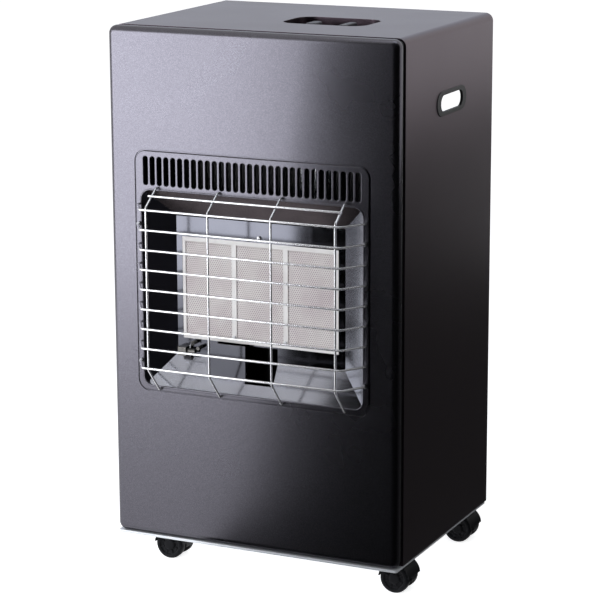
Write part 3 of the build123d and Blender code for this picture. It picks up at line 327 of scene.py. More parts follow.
def make_rounded_edges():
    """Bevelled normals for pressed sheet and moulded plastic, and a mask of the edges they soften."""
    outputs = {"Normal": "NodeSocketVector", "Edge": "NodeSocketFloat"}
    group, start, end = new_group("rounded_edges", {"Radius": 0.0006}, outputs)
    bevel = put(group, "ShaderNodeBevel", samples=4)
    wire(group, start.outputs["Radius"], bevel.inputs["Radius"])
    true = put(group, "ShaderNodeNewGeometry")
    dot = put(group, "ShaderNodeVectorMath", operation="DOT_PRODUCT")
    wire(group, bevel.outputs[0], dot.inputs[0])
    wire(group, true.outputs["Normal"], dot.inputs[1])
    mask = put(group, "ShaderNodeMapRange")
    mask.inputs["From Min"].default_value = 0.995
    mask.inputs["From Max"].default_value = 0.86
    wire(group, dot.outputs["Value"], mask.inputs["Value"])
    wire(group, bevel.outputs[0], end.inputs["Normal"])
    wire(group, mask.outputs["Result"], end.inputs["Edge"])
    return group


def make_speckle():
    """Fine grains and a slow cloud, for metallic paint, cast and moulded surfaces."""
    outputs = {"Grain": "NodeSocketFloat", "Cloud": "NodeSocketFloat"}
    group, start, end = new_group("speckle", {"Grain Scale": 900.0, "Cloud Scale": 9.0}, outputs)
    place = put(group, "ShaderNodeTexCoord")
    for label, detail in (("Grain", 2.0), ("Cloud", 3.0)):
        noise = put(group, "ShaderNodeTexNoise", Detail=detail, Roughness=0.55)
        wire(group, place.outputs["Object"], noise.inputs["Vector"])
        wire(group, start.outputs[f"{label} Scale"], noise.inputs["Scale"])
        wire(group, noise.outputs["Fac"], end.inputs[label])
    return group


def make_brushing():
    """Fine lines along one axis: the sizes are how much the noise is squeezed across X, Y and Z."""
    inputs = {"Across X": 40.0, "Across Y": 40.0, "Across Z": 1200.0}
    group, start, end = new_group("brushing", inputs, {"Lines": "NodeSocketFloat"})
    place = put(group, "ShaderNodeTexCoord")
    sizes = put(group, "ShaderNodeCombineXYZ")
    for i, label in enumerate(inputs):
        wire(group, start.outputs[label], sizes.inputs[i])
    stretch = put(group, "ShaderNodeVectorMath", operation="MULTIPLY")
    wire(group, place.outputs["Object"], stretch.inputs[0])
    wire(group, sizes.outputs[0], stretch.inputs[1])
    noise = put(group, "ShaderNodeTexNoise", Scale=1.0, Detail=4.0, Roughness=0.6)
    wire(group, stretch.outputs[0], noise.inputs["Vector"])
    wire(group, noise.outputs["Fac"], end.inputs["Lines"])
    return group


def make_dust():
    """Settled dust: a mask that is strong on faces that look up, broken by noise."""
    group, start, end = new_group("dust", {"Amount": 0.3}, {"Dust": "NodeSocketFloat"})
    true = put(group, "ShaderNodeNewGeometry")
    parts = put(group, "ShaderNodeSeparateXYZ")
    wire(group, true.outputs["Normal"], parts.inputs[0])
    place = put(group, "ShaderNodeTexCoord")
    noise = put(group, "ShaderNodeTexNoise", Scale=60.0, Detail=5.0, Roughness=0.7)
    wire(group, place.outputs["Object"], noise.inputs["Vector"])
    facing = maths(group, "MULTIPLY", parts.outputs["Z"], noise.outputs["Fac"], clamp=True)
    wire(group, maths(group, "MULTIPLY", facing, start.outputs["Amount"]), end.inputs["Dust"])
    return group


groups = {"edges": make_rounded_edges(), "speckle": make_speckle(), "brushing": make_brushing(), "dust": make_dust()}
print("shader groups", sorted(groups))


def place_group(tree, name, **values):
    node = tree.nodes.new("ShaderNodeGroup")
    node.node_tree = groups[name]
    for label, value in values.items():
        node.inputs[label.replace("_", " ")].default_value = value
    return node


def start_finish(name, **constants):
    """A new material with its Principled shader, whose constant sockets are set directly."""
    material = bpy.data.materials.new(name)
    material.use_nodes = True
    tree = material.node_tree
    shader = next(n for n in tree.nodes if n.type == "BSDF_PRINCIPLED")
    for label, value in constants.items():
        shader.inputs[label.replace("_", " ")].default_value = value
    return material, tree, shader


def relief(tree, shader, height, distance, strength=1.0, normal=None):
    """Turn a height into a normal, on top of the bevelled one."""
    bump = put(tree, "ShaderNodeBump", Strength=strength, Distance=distance)
    wire(tree, height, bump.inputs["Height"])
    if normal is not None:
        wire(tree, normal, bump.inputs["Normal"])
    wire(tree, bump.outputs["Normal"], shader.inputs["Normal"])


# %% [markdown]
# ## Cabinet paint
# The sheet steel is sprayed with a dark metallic charcoal. The flakes make it behave like a very dark metal: it
# takes a wide soft sheen from the key card, goes pale at a grazing look and is near black elsewhere. A speckle in
# colour and roughness gives the flakes, a faint orange peel breaks the sheen, and worn edges are a touch lighter.

# %% Cabinet paint
def make_paint(name, colour, flake, roughness):
    material, tree, shader = start_finish(name, Metallic=0.98)
    grain = place_group(tree, "speckle", Grain_Scale=1500.0, Cloud_Scale=7.0)
    edges = place_group(tree, "edges", Radius=0.0008)
    dust = place_group(tree, "dust", Amount=0.05)
    sharp = put(tree, "ShaderNodeMapRange")
    sharp.inputs["From Min"].default_value = 0.42
    sharp.inputs["From Max"].default_value = 0.72
    wire(tree, grain.outputs["Grain"], sharp.inputs["Value"])
    flakes = blend_colour(tree, sharp.outputs["Result"], colour, flake)
    worn = maths(tree, "MULTIPLY", edges.outputs["Edge"], 0.12)
    edged = blend_colour(tree, worn, flakes, (0.30, 0.30, 0.31))
    wire(tree, blend_colour(tree, dust.outputs["Dust"], edged, (0.30, 0.28, 0.26)), shader.inputs["Base Color"])
    wire(tree, spread(tree, grain.outputs["Cloud"], roughness - 0.03, roughness + 0.04), shader.inputs["Roughness"])
    relief(tree, shader, grain.outputs["Grain"], 0.00003, 0.35, edges.outputs["Normal"])
    return material


finishes = {
    "panel_paint": make_paint("panel_paint", (0.076, 0.072, 0.085), (0.128, 0.124, 0.142), 0.275),
    "shell_paint": make_paint("shell_paint", (0.070, 0.050, 0.062), (0.116, 0.090, 0.108), 0.32),
}

# %% [markdown]
# ## Bright metals
# The guard is plated wire, and the reflector is bright anodised sheet, almost a mirror, with faint rolling lines.
# Behind the burner the sheet is plain aluminised steel. A dimmed copy of the mirror and a near-black steel are
# painted shade for parts inside the cabinet. They share one recipe: a metallic shader whose roughness and relief
# follow a stretched noise.


# %% Bright metals
def make_sheet_metal(name, colour, tint, roughness, across, height, edge_radius=0.0004, metallic=1.0):
    material, tree, shader = start_finish(name, Metallic=metallic)
    lines = place_group(tree, "brushing", Across_X=across[0], Across_Y=across[1], Across_Z=across[2])
    grain = place_group(tree, "speckle", Grain_Scale=420.0, Cloud_Scale=16.0)
    edges = place_group(tree, "edges", Radius=edge_radius)
    cloud = spread(tree, grain.outputs["Cloud"], 0.0, 1.0)
    wire(tree, blend_colour(tree, cloud, colour, tint), shader.inputs["Base Color"])
    wire(tree, spread(tree, lines.outputs["Lines"], roughness * 0.75, roughness * 1.35), shader.inputs["Roughness"])
    relief(tree, shader, lines.outputs["Lines"], height, 0.5, edges.outputs["Normal"])
    return material


finishes["bright_wire"] = make_sheet_metal(
    "bright_wire", (0.74, 0.74, 0.76), (0.64, 0.63, 0.65), 0.22, (60, 60, 60), 0.00001, 0.0002, metallic=0.80)
finishes["mirror_sheet"] = make_sheet_metal(
    "mirror_sheet", (0.36, 0.37, 0.41), (0.26, 0.26, 0.30), 0.12, (30, 900, 900), 0.00001)
# Painted shade: a copy of the mirror sheet with about a fifth of its colour, dimmed so the deflector, burner back
# plate and pilot shield reflect less light.
finishes["shaded_mirror"] = make_sheet_metal(
    "shaded_mirror", (0.076, 0.077, 0.088), (0.054, 0.054, 0.064), 0.12, (30, 900, 900), 0.00001)
finishes["sooted_mirror"] = make_sheet_metal(
    "sooted_mirror", (0.085, 0.070, 0.074), (0.030, 0.025, 0.027), 0.20, (30, 600, 600), 0.00001)
# Painted shade: a near-black steel for the heat shield, burner housing, mixing tubes, stays and injector rail,
# darkened to stand in for the shade inside the cabinet.
finishes["shaded_steel"] = make_sheet_metal(
    "shaded_steel", (0.060, 0.058, 0.058), (0.030, 0.029, 0.030), 0.50, (60, 300, 300), 0.00002)
finishes["plain_steel"] = make_sheet_metal(
    "plain_steel", (0.60, 0.60, 0.61), (0.50, 0.50, 0.51), 0.34, (80, 800, 800), 0.00002)
finishes["zinc"] = make_sheet_metal(
    "zinc", (0.74, 0.75, 0.77), (0.60, 0.62, 0.66), 0.34, (200, 200, 200), 0.00002, metallic=0.5)
finishes["brass"] = make_sheet_metal(
    "brass", (0.80, 0.62, 0.30), (0.66, 0.48, 0.22), 0.28, (300, 300, 900), 0.00002)
finishes["pipe"] = make_sheet_metal(
    "pipe", (0.76, 0.76, 0.78), (0.62, 0.62, 0.65), 0.27, (300, 300, 300), 0.00002)
finishes["sooted_brass"] = make_sheet_metal(
    "sooted_brass", (0.150, 0.142, 0.134), (0.090, 0.086, 0.084), 0.44, (300, 300, 900), 0.00002)
finishes["clip_wire"] = make_sheet_metal(
    "clip_wire", (0.22, 0.22, 0.23), (0.15, 0.15, 0.16), 0.34, (200, 200, 200), 0.00002)
finishes["fastener"] = make_sheet_metal(
    "fastener", (0.58, 0.58, 0.60), (0.42, 0.42, 0.44), 0.30, (500, 500, 500), 0.00002)


# %% [markdown]
# The left side of the reflector is painted nearly black, slightly glossy, with a faint bluish mottle: a painted dark
# reflection, standing in for the darkness this bright sheet shows.

# %% Painted dark reflector sheet
def make_painted_dark_reflector():
    material, tree, shader = start_finish("dark_sheet", Metallic=0.7)
    grain = place_group(tree, "speckle", Grain_Scale=500.0, Cloud_Scale=22.0)
    edges = place_group(tree, "edges", Radius=0.0004)
    # Painted dark reflection: a near-black colour with a faint bluish mottle.
    painted_dark_mottle = blend_colour(tree, grain.outputs["Cloud"], (0.010, 0.010, 0.012), (0.022, 0.021, 0.030))
    wire(tree, painted_dark_mottle, shader.inputs["Base Color"])
    wire(tree, spread(tree, grain.outputs["Grain"], 0.26, 0.44), shader.inputs["Roughness"])
    relief(tree, shader, grain.outputs["Grain"], 0.00003, 0.4, edges.outputs["Normal"])
    return material


finishes["dark_sheet"] = make_painted_dark_reflector()


# %% [markdown]
# ## Ceramic, fibre, foam and plastics
# The plaques are unglazed ceramic: chalky, cream with a pink cast, darker where the flame has been. The seal is
# near-black foam, painted shadow for the gap round the front panel; the gasket is white fibre. The grips and casters
# are moulded plastic with a fine spark texture.

# %% Ceramic and fibre
def make_ceramic(name, colour, stain, roughness, height):
    material, tree, shader = start_finish(name, Metallic=0.0, Specular_IOR_Level=0.25)
    grain = place_group(tree, "speckle", Grain_Scale=700.0, Cloud_Scale=24.0)
    cloud = put(tree, "ShaderNodeMapRange")
    cloud.inputs["From Min"].default_value = 0.35
    cloud.inputs["From Max"].default_value = 0.70
    wire(tree, grain.outputs["Cloud"], cloud.inputs["Value"])
    wire(tree, blend_colour(tree, cloud.outputs["Result"], colour, stain), shader.inputs["Base Color"])
    wire(tree, spread(tree, grain.outputs["Grain"], roughness - 0.08, roughness + 0.08), shader.inputs["Roughness"])
    relief(tree, shader, grain.outputs["Grain"], height, 0.6)
    return material


finishes["ceramic"] = make_ceramic("ceramic", (0.70, 0.66, 0.645), (0.60, 0.53, 0.54), 0.80, 0.00010)
# Painted shade: the port finish, about half as bright as the ceramic, goes on the sunk faces of each port and stands
# in for the shade down a real flame port.
finishes["port"] = make_ceramic("port", (0.36, 0.28, 0.29), (0.27, 0.21, 0.22), 0.90, 0.00010)
finishes["cream_enamel"] = make_ceramic("cream_enamel", (0.74, 0.72, 0.71), (0.66, 0.63, 0.62), 0.50, 0.00003)
finishes["gasket"] = make_ceramic("gasket", (0.80, 0.79, 0.76), (0.70, 0.68, 0.64), 0.90, 0.00030)
finishes["sooted_insulator"] = make_ceramic(
    "sooted_insulator", (0.085, 0.080, 0.076), (0.045, 0.042, 0.040), 0.50, 0.00002)


# %% Foam and plastics
def make_plastic(name, colour, roughness, grain_scale, height, dust_amount=0.05, gloss=0.5):
    material, tree, shader = start_finish(name, Metallic=0.0, Specular_IOR_Level=gloss)
    grain = place_group(tree, "speckle", Grain_Scale=grain_scale, Cloud_Scale=14.0)
    edges = place_group(tree, "edges", Radius=0.0006)
    dust = place_group(tree, "dust", Amount=dust_amount)
    light = tuple(min(1.0, c * 1.7 + 0.006) for c in colour)
    mottled = blend_colour(tree, grain.outputs["Cloud"], colour, light)
    rubbed = blend_colour(tree, maths(tree, "MULTIPLY", edges.outputs["Edge"], 0.10), mottled, (0.16, 0.16, 0.17))
    wire(tree, blend_colour(tree, dust.outputs["Dust"], rubbed, (0.32, 0.30, 0.28)), shader.inputs["Base Color"])
    wire(tree, spread(tree, grain.outputs["Grain"], roughness - 0.06, roughness + 0.08), shader.inputs["Roughness"])
    relief(tree, shader, grain.outputs["Grain"], height, 0.5, edges.outputs["Normal"])
    return material


# Painted shadow: the seal's near-black colour stands for the shadow in the gap round the front panel.
finishes["foam_seal"] = make_plastic("foam_seal", (0.008, 0.008, 0.009), 0.88, 500.0, 0.0002)
finishes["black_plastic"] = make_plastic("black_plastic", (0.007, 0.007, 0.008), 0.42, 1300.0, 0.00004, 0.03, 0.25)
finishes["knob_plastic"] = make_plastic("knob_plastic", (0.016, 0.014, 0.021), 0.42, 1500.0, 0.00003, 0.03, 0.25)
finishes["nylon"] = make_plastic("nylon", (0.004, 0.004, 0.005), 0.46, 1000.0, 0.00005, 0.02, 0.12)
finishes["wheel_plastic"] = make_plastic("wheel_plastic", (0.003, 0.003, 0.004), 0.50, 900.0, 0.00006, 0.02, 0.10)
finishes["marking"] = make_plastic("marking", (0.52, 0.51, 0.48), 0.45, 900.0, 0.00002)
finishes["lead"] = make_plastic("lead", (0.09, 0.09, 0.10), 0.50, 900.0, 0.00004)

# %% [markdown]
# Every CAD node now takes a finish: the one of its own slot from the record, or for a few inner parts the one listed
# in `special`.

# %% Dress the CAD nodes
# The deflector, burner back plate and pilot shield take a dimmed mirror, and the heat shield, burner housing, tubes,
# stays and rail a near-black steel: both are painted shade.
special = {
    "deflector_plate": "shaded_mirror", "burner_back_plate": "shaded_mirror", "pilot_shield": "shaded_mirror",
    "reflector_top": "sooted_mirror", "heat_shield": "shaded_steel", "burner_housing": "shaded_steel",
    "mixing_tubes": "shaded_steel", "burner_stays": "shaded_steel", "injector_rail": "shaded_steel",
    "burner_frame": "cream_enamel", "pilot_burner": "sooted_brass", "thermocouple": "sooted_brass",
    "electrode_insulator": "sooted_insulator", "guard_clips": "clip_wire",
}
for part in record["subparts"]:
    solid = nodes[part["node"]]
    for holder in solid.material_slots:
        holder.material = finishes[special.get(part["node"], part["material_slot"])]
print("finishes", len(finishes), "on", len(record["subparts"]), "nodes")


# %% [markdown]
# ## Perforated plaques
# An infrared plaque is a tile with hundreds of small flame ports in staggered rows. Cutting them as holes would
# be slow, so the face is laid from hexagonal cells. Each cell is a hexagon with a dished port in it, and a
# Geometry Nodes tree repeats it on a staggered grid. A plain border frames the field and hides its ragged edge.

# %% The cell
port_pitch = 0.0031
port_radius = 0.00078
port_depth = 0.0012
plain_border = 0.0021


def make_cell():
    """One hexagonal cell, centred on the origin, that faces -Y, with its port sunk towards +Y."""
    mesh = bpy.data.meshes.new("plaque_cell")
    ring = []
    for i in range(12):
        angle = math.radians(30 * i)
        reach = port_pitch / 2 / math.cos(math.radians(30)) if i % 2 else port_pitch / 2
        ring.append((reach * math.cos(angle), 0.0, reach * math.sin(angle)))
    points = list(ring)
    for radius, depth in ((port_radius, 0.0), (port_radius * 0.8, port_depth)):
        for i in range(12):
            angle = math.radians(30 * i)
            points.append((radius * math.cos(angle), depth, radius * math.sin(angle)))
    faces = []
    for level in range(2):
        for i in range(12):
            a, b = level * 12 + i, level * 12 + (i + 1) % 12
            faces.append((a, b, b + 12, a + 12))
    faces.append(tuple(24 + i for i in range(12)))
    mesh.from_pydata(points, [], faces)
    sunk = mesh.attributes.new("port", "BOOLEAN", "FACE")
    sunk.data.foreach_set("value", [i >= 12 for i in range(len(faces))])
    return bpy.data.objects.new("plaque_cell", mesh)


# %% The staggered grid
def add_input(group, label, kind, value=None):
    socket = group.interface.new_socket(name=label, in_out="INPUT", socket_type=kind)
    if value is not None:
        socket.default_value = value
    return socket.identifier


def make_staggered_grid():
    """Geometry Nodes tree: copies of a cell on staggered rows that fill a width and a height in X and Z."""
    group = bpy.data.node_groups.new("staggered_grid", "GeometryNodeTree")
    keys = {
        "cell": add_input(group, "Cell", "NodeSocketObject"),
        "pitch": add_input(group, "Pitch", "NodeSocketFloat", 0.005),
        "columns": add_input(group, "Columns", "NodeSocketInt", 10),
        "rows": add_input(group, "Rows", "NodeSocketInt", 10),
        "centre": add_input(group, "Centre", "NodeSocketVector"),
        "face": add_input(group, "Face", "NodeSocketMaterial"),
        "port": add_input(group, "Port", "NodeSocketMaterial"),
    }
    group.interface.new_socket(name="Geometry", in_out="OUTPUT", socket_type="NodeSocketGeometry")
    start = group.nodes.new("NodeGroupInput")
    end = group.nodes.new("NodeGroupOutput")

    def number(operation, a, b=None):
        return maths(group, operation, a, b)

    total = number("MULTIPLY", start.outputs["Columns"], start.outputs["Rows"])
    line = put(group, "GeometryNodeMeshLine")
    wire(group, total, line.inputs["Count"])
    index = put(group, "GeometryNodeInputIndex").outputs[0]
    row = number("FLOOR", number("DIVIDE", number("ADD", index, 0.5), start.outputs["Columns"]))
    column = number("SUBTRACT", index, number("MULTIPLY", row, start.outputs["Columns"]))
    stagger = number("MULTIPLY", number("MODULO", row, 2.0), 0.5)
    half_columns = number("DIVIDE", number("SUBTRACT", start.outputs["Columns"], 0.5), 2.0)
    half_rows = number("DIVIDE", number("SUBTRACT", start.outputs["Rows"], 1.0), 2.0)
    x = number("MULTIPLY", number("SUBTRACT", number("ADD", column, stagger), half_columns), start.outputs["Pitch"])
    step = number("MULTIPLY", start.outputs["Pitch"], math.sqrt(3) / 2)
    z = number("MULTIPLY", number("SUBTRACT", row, half_rows), step)
    spot = put(group, "ShaderNodeCombineXYZ")
    wire(group, x, spot.inputs["X"])
    wire(group, z, spot.inputs["Z"])
    moved = put(group, "ShaderNodeVectorMath", operation="ADD")
    wire(group, spot.outputs[0], moved.inputs[0])
    wire(group, start.outputs["Centre"], moved.inputs[1])
    placed = put(group, "GeometryNodeSetPosition")
    wire(group, line.outputs[0], placed.inputs["Geometry"])
    wire(group, moved.outputs[0], placed.inputs["Position"])
    cell = put(group, "GeometryNodeObjectInfo")
    wire(group, start.outputs["Cell"], cell.inputs["Object"])
    copies = put(group, "GeometryNodeInstanceOnPoints")
    wire(group, placed.outputs[0], copies.inputs["Points"])
    wire(group, cell.outputs["Geometry"], copies.inputs["Instance"])
    real = put(group, "GeometryNodeRealizeInstances")
    wire(group, copies.outputs[0], real.inputs[0])
    joined = put(group, "GeometryNodeMergeByDistance")
    joined.inputs["Distance"].default_value = 0.00001
    wire(group, real.outputs[0], joined.inputs[0])
    plain = put(group, "GeometryNodeSetMaterial")
    wire(group, joined.outputs[0], plain.inputs["Geometry"])
    wire(group, start.outputs["Face"], plain.inputs["Material"])
    # The sunk faces of each port take the darker port finish: painted shade.
    sunk = put(group, "GeometryNodeInputNamedAttribute", data_type="BOOLEAN")
    sunk.inputs["Name"].default_value = "port"
    ports = put(group, "GeometryNodeSetMaterial")
    wire(group, plain.outputs[0], ports.inputs["Geometry"])
    wire(group, next(o for o in sunk.outputs if o.enabled), ports.inputs["Selection"])
    wire(group, start.outputs["Port"], ports.inputs["Material"])
    wire(group, ports.outputs[0], end.inputs[0])
    return group, keys


grid_tree, grid_keys = make_staggered_grid()


def grow(name, tree, values):
    """Run a Geometry Nodes tree on an empty mesh and return the result as a plain mesh."""
    seed = bpy.data.objects.new(name, bpy.data.meshes.new(name))
    scene.collection.objects.link(seed)
    modifier = seed.modifiers.new("nodes", "NODES")
    modifier.node_group = tree
    for key, value in values.items():
        modifier[key] = value
    bpy.context.view_layer.update()
    shown = seed.evaluated_get(bpy.context.evaluated_depsgraph_get())
    mesh = bpy.data.meshes.new_from_object(shown)
    mesh.name = name
    bpy.data.objects.remove(seed)
    return mesh


# %% [markdown]
# Each plaque is a solid tile with its field of cells laid into the front. The tile's front is a shallow tray that
# the cells close, so that the ports have real depth, and the plain border stands level with the cells.

# %% The plaques
def plaque_body(low, high, field_front):
    """The tile: a block with chamfered edges whose front face is a border round a sunk tray."""
    form = bmesh.new()
    x0, y0, z0 = low
    x1, y1, z1 = high
    chamfer = 0.0006
    loops = [
        [(x0, y1, z0), (x1, y1, z0), (x1, y1, z1), (x0, y1, z1)],
        [(x0, y0 + chamfer, z0), (x1, y0 + chamfer, z0), (x1, y0 + chamfer, z1), (x0, y0 + chamfer, z1)],
    ]
    for inset, depth in ((chamfer, y0), (plain_border, y0), (plain_border, field_front + port_depth + 0.0004)):
        loops.append([(x0 + inset, depth, z0 + inset), (x1 - inset, depth, z0 + inset),
                      (x1 - inset, depth, z1 - inset), (x0 + inset, depth, z1 - inset)])
    rings = [[form.verts.new(p) for p in loop] for loop in loops]
    form.faces.new(rings[0])
    for a, b in zip(rings, rings[1:]):
        for i in range(4):
            form.faces.new((a[i], a[(i + 1) % 4], b[(i + 1) % 4], b[i]))
    form.faces.new(rings[-1])
    bmesh.ops.recalc_face_normals(form, faces=form.faces)
    mesh = bpy.data.meshes.new("plaque_body")
    form.to_mesh(mesh)
    form.free()
    mesh.materials.append(finishes["ceramic"])
    return mesh


def join_meshes(name, meshes):
    """One mesh from several, keeping every material."""
    form = bmesh.new()
    materials = []
    for mesh in meshes:
        first = len(form.faces)
        form.from_mesh(mesh)
        form.faces.ensure_lookup_table()
        where = []
        for material in mesh.materials:
            if material not in materials:
                materials.append(material)
            where.append(materials.index(material))
        for face in form.faces[first:]:
            face.material_index = where[face.material_index] if where else 0
    joined = bpy.data.meshes.new(name)
    form.to_mesh(joined)
    form.free()
    for material in materials:
        joined.materials.append(material)
    return joined


def add_piece(name, mesh, body, slot, *stands_for):
    piece = bpy.data.objects.new(name, mesh)
    scene.collection.objects.link(piece)
    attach(piece, body)
    if stands_for:
        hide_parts(*stands_for)
    return piece


cell = make_cell()
scene.collection.objects.link(cell)
for place in ("left", "centre", "right"):
    node = f"ceramic_plaque_{place}"
    low, high = (Vector(v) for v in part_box(node))
    field_front = low.y + 0.00015
    inner_width = high.x - low.x - 2 * plain_border
    inner_height = high.z - low.z - 2 * plain_border
    values = {
        grid_keys["cell"]: cell,
        grid_keys["pitch"]: port_pitch,
        grid_keys["columns"]: int(inner_width / port_pitch),
        grid_keys["rows"]: int(inner_height / (port_pitch * math.sqrt(3) / 2)),
        grid_keys["centre"]: Vector(((low.x + high.x) / 2, field_front, (low.z + high.z) / 2)),
        grid_keys["face"]: finishes["ceramic"],
        grid_keys["port"]: finishes["port"],
    }
    field = grow(f"{place}_cells", grid_tree, values)
    mesh = join_meshes(f"plaque_{place}", [plaque_body(low, high, field_front), field])
    add_piece(f"plaque_{place}", mesh, "cabinet", "ceramic", node)
    print(node, len(mesh.polygons), "faces", values[grid_keys["columns"]], "by", values[grid_keys["rows"]])
bpy.data.objects.remove(cell)

# %% [markdown]
# ## Caster wheels
# Each caster has two moulded wheels. A wheel is a profile turned round its axle: a tread with rounded shoulders, a
# dished face and a hub. Ribs in the dish and a snap-on cap finish the outside, as on real moulded wheels.

# %% Caster wheels
def turned(form, profile, centre, side, steps=56):
    """Turn a profile of (radius, depth) about the Y axis. Depth runs outwards from the inner face."""
    rings = []
    for i in range(steps):
        angle = 2 * math.pi * i / steps
        ring = []
        for radius, depth in profile:
            offset = Vector((radius * math.cos(angle), side * depth, radius * math.sin(angle)))
            ring.append(form.verts.new(centre + offset))
        rings.append(ring)
    for a, b in zip(rings, rings[1:] + rings[:1]):
        for i in range(len(profile) - 1):
            form.faces.new((a[i], b[i], b[i + 1], a[i + 1]))
    return rings


def make_wheel(node, body):
    low, high = (Vector(v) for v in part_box(node))
    side = -1 if node.endswith("_a") else 1
    radius = (high.z - low.z) / 2
    width = high.y - low.y
    centre = Vector(((low.x + high.x) / 2, high.y if side < 0 else low.y, (low.z + high.z) / 2))
    bore = 0.00306
    bore_depth = width * 0.72
    boss_radius = 0.0072
    inner_dish = 0.0010
    rim_thickness = 0.0042
    hub_radius = 0.0088
    on_axis = 0.00001
    profile = [
        (bore, bore_depth), (bore, 0.0), (boss_radius, 0.0), (boss_radius, inner_dish),
        (radius - rim_thickness, inner_dish), (radius - rim_thickness, 0.0), (radius - 0.0012, 0.0),
        (radius - 0.0002, 0.0006), (radius, 0.0018),
        (radius, width - 0.0034), (radius - 0.0006, width - 0.0017), (radius - 0.0018, width - 0.0006),
        (radius - 0.0034, width - 0.0001), (radius - 0.0050, width), (radius - 0.0060, width - 0.0006),
        (radius - 0.0066, width - 0.0020), (hub_radius, width - 0.0026), (hub_radius - 0.0006, width - 0.0012),
        (0.0070, width - 0.0002), (0.0050, width), (0.0018, width - 0.0001), (on_axis, width - 0.0001),
    ]
    form = bmesh.new()
    turned(form, profile, centre, side)
    turned(form, [(bore, bore_depth), (on_axis, bore_depth)], centre, side)
    ribs = 8
    rib_start = 0.0086
    rib_end = radius - 0.0064
    rib_rise = 0.0022
    rib_thickness = 0.0013
    reach = rib_end - rib_start
    for i in range(ribs):
        angle = 2 * math.pi * (i + 0.5) / ribs
        rib = bmesh.ops.create_cube(form, size=1.0)
        shape = (Matrix.Translation(centre) @ Matrix.Rotation(-angle, 4, "Y")
                 @ Matrix.Translation((rib_start + reach / 2, side * (width - 0.0020), 0))
                 @ Matrix.Diagonal((reach, rib_rise, rib_thickness, 1.0)))
        bmesh.ops.transform(form, matrix=shape, verts=rib["verts"])
    bmesh.ops.remove_doubles(form, verts=form.verts, dist=0.00002)
    bmesh.ops.recalc_face_normals(form, faces=form.faces)
    for face in form.faces:
        face.smooth = True
    mesh = bpy.data.meshes.new(node + "_dressed")
    form.to_mesh(mesh)
    form.free()
    mesh.set_sharp_from_angle(angle=math.radians(38))
    mesh.materials.append(finishes["wheel_plastic"])
    return add_piece(node + "_dressed", mesh, body, "wheel_plastic", node)


wheels = 0
for body, members in record["behaviour"]["bodies"].items():
    if body.startswith("wheel_"):
        make_wheel(members[0], body)
        wheels += 1
print("wheels", wheels)

# %% [markdown]
# ## Control knob
# The knob's solid already has its skirt and finger bar. What it lacks is small: fine ribs round the skirt, which a
# second Geometry Nodes tree sets on a ring, and a pale pointer let into the bar.

# %% A ring of copies
def make_ring_of_copies():
    """Geometry Nodes tree: copies of a piece on a ring about Z, each turned to face outwards."""
    group = bpy.data.node_groups.new("ring_of_copies", "GeometryNodeTree")
    keys = {
        "piece": add_input(group, "Piece", "NodeSocketObject"),
        "count": add_input(group, "Count", "NodeSocketInt", 12),
        "radius": add_input(group, "Radius", "NodeSocketFloat", 0.01),
        "centre": add_input(group, "Centre", "NodeSocketVector"),
        "material": add_input(group, "Material", "NodeSocketMaterial"),
    }
    group.interface.new_socket(name="Geometry", in_out="OUTPUT", socket_type="NodeSocketGeometry")
    start = group.nodes.new("NodeGroupInput")
    end = group.nodes.new("NodeGroupOutput")
    circle = put(group, "GeometryNodeMeshCircle")
    wire(group, start.outputs["Count"], circle.inputs["Vertices"])
    wire(group, start.outputs["Radius"], circle.inputs["Radius"])
    index = put(group, "GeometryNodeInputIndex").outputs[0]
    turn = maths(group, "MULTIPLY", maths(group, "DIVIDE", index, start.outputs["Count"]), 2 * math.pi)
    angles = put(group, "ShaderNodeCombineXYZ")
    wire(group, turn, angles.inputs["Z"])
    piece = put(group, "GeometryNodeObjectInfo")
    wire(group, start.outputs["Piece"], piece.inputs["Object"])
    copies = put(group, "GeometryNodeInstanceOnPoints")
    wire(group, circle.outputs[0], copies.inputs["Points"])
    wire(group, piece.outputs["Geometry"], copies.inputs["Instance"])
    wire(group, angles.outputs[0], copies.inputs["Rotation"])
    real = put(group, "GeometryNodeRealizeInstances")
    wire(group, copies.outputs[0], real.inputs[0])
    placed = put(group, "GeometryNodeTransform")
    wire(group, real.outputs[0], placed.inputs["Geometry"])
    wire(group, start.outputs["Centre"], placed.inputs["Translation"])
    coloured = put(group, "GeometryNodeSetMaterial")
    wire(group, placed.outputs[0], coloured.inputs["Geometry"])
    wire(group, start.outputs["Material"], coloured.inputs["Material"])
    wire(group, coloured.outputs[0], end.inputs[0])
    return group, keys


ring_tree, ring_keys = make_ring_of_copies()


# %% Knob details
def bar_mesh(name, low, high):
    """A block between two corners, with its edges eased."""
    form = bmesh.new()
    bmesh.ops.create_cube(form, size=1.0)
    low, high = Vector(low), Vector(high)
    for vert in form.verts:
        vert.co = Vector(high[i] if vert.co[i] > 0 else low[i] for i in range(3))
    reach = min(high - low) * 0.25
    bmesh.ops.bevel(form, geom=form.edges[:], offset=reach, segments=2, affect="EDGES")
    mesh = bpy.data.meshes.new(name)
    form.to_mesh(mesh)
    form.free()
    return mesh


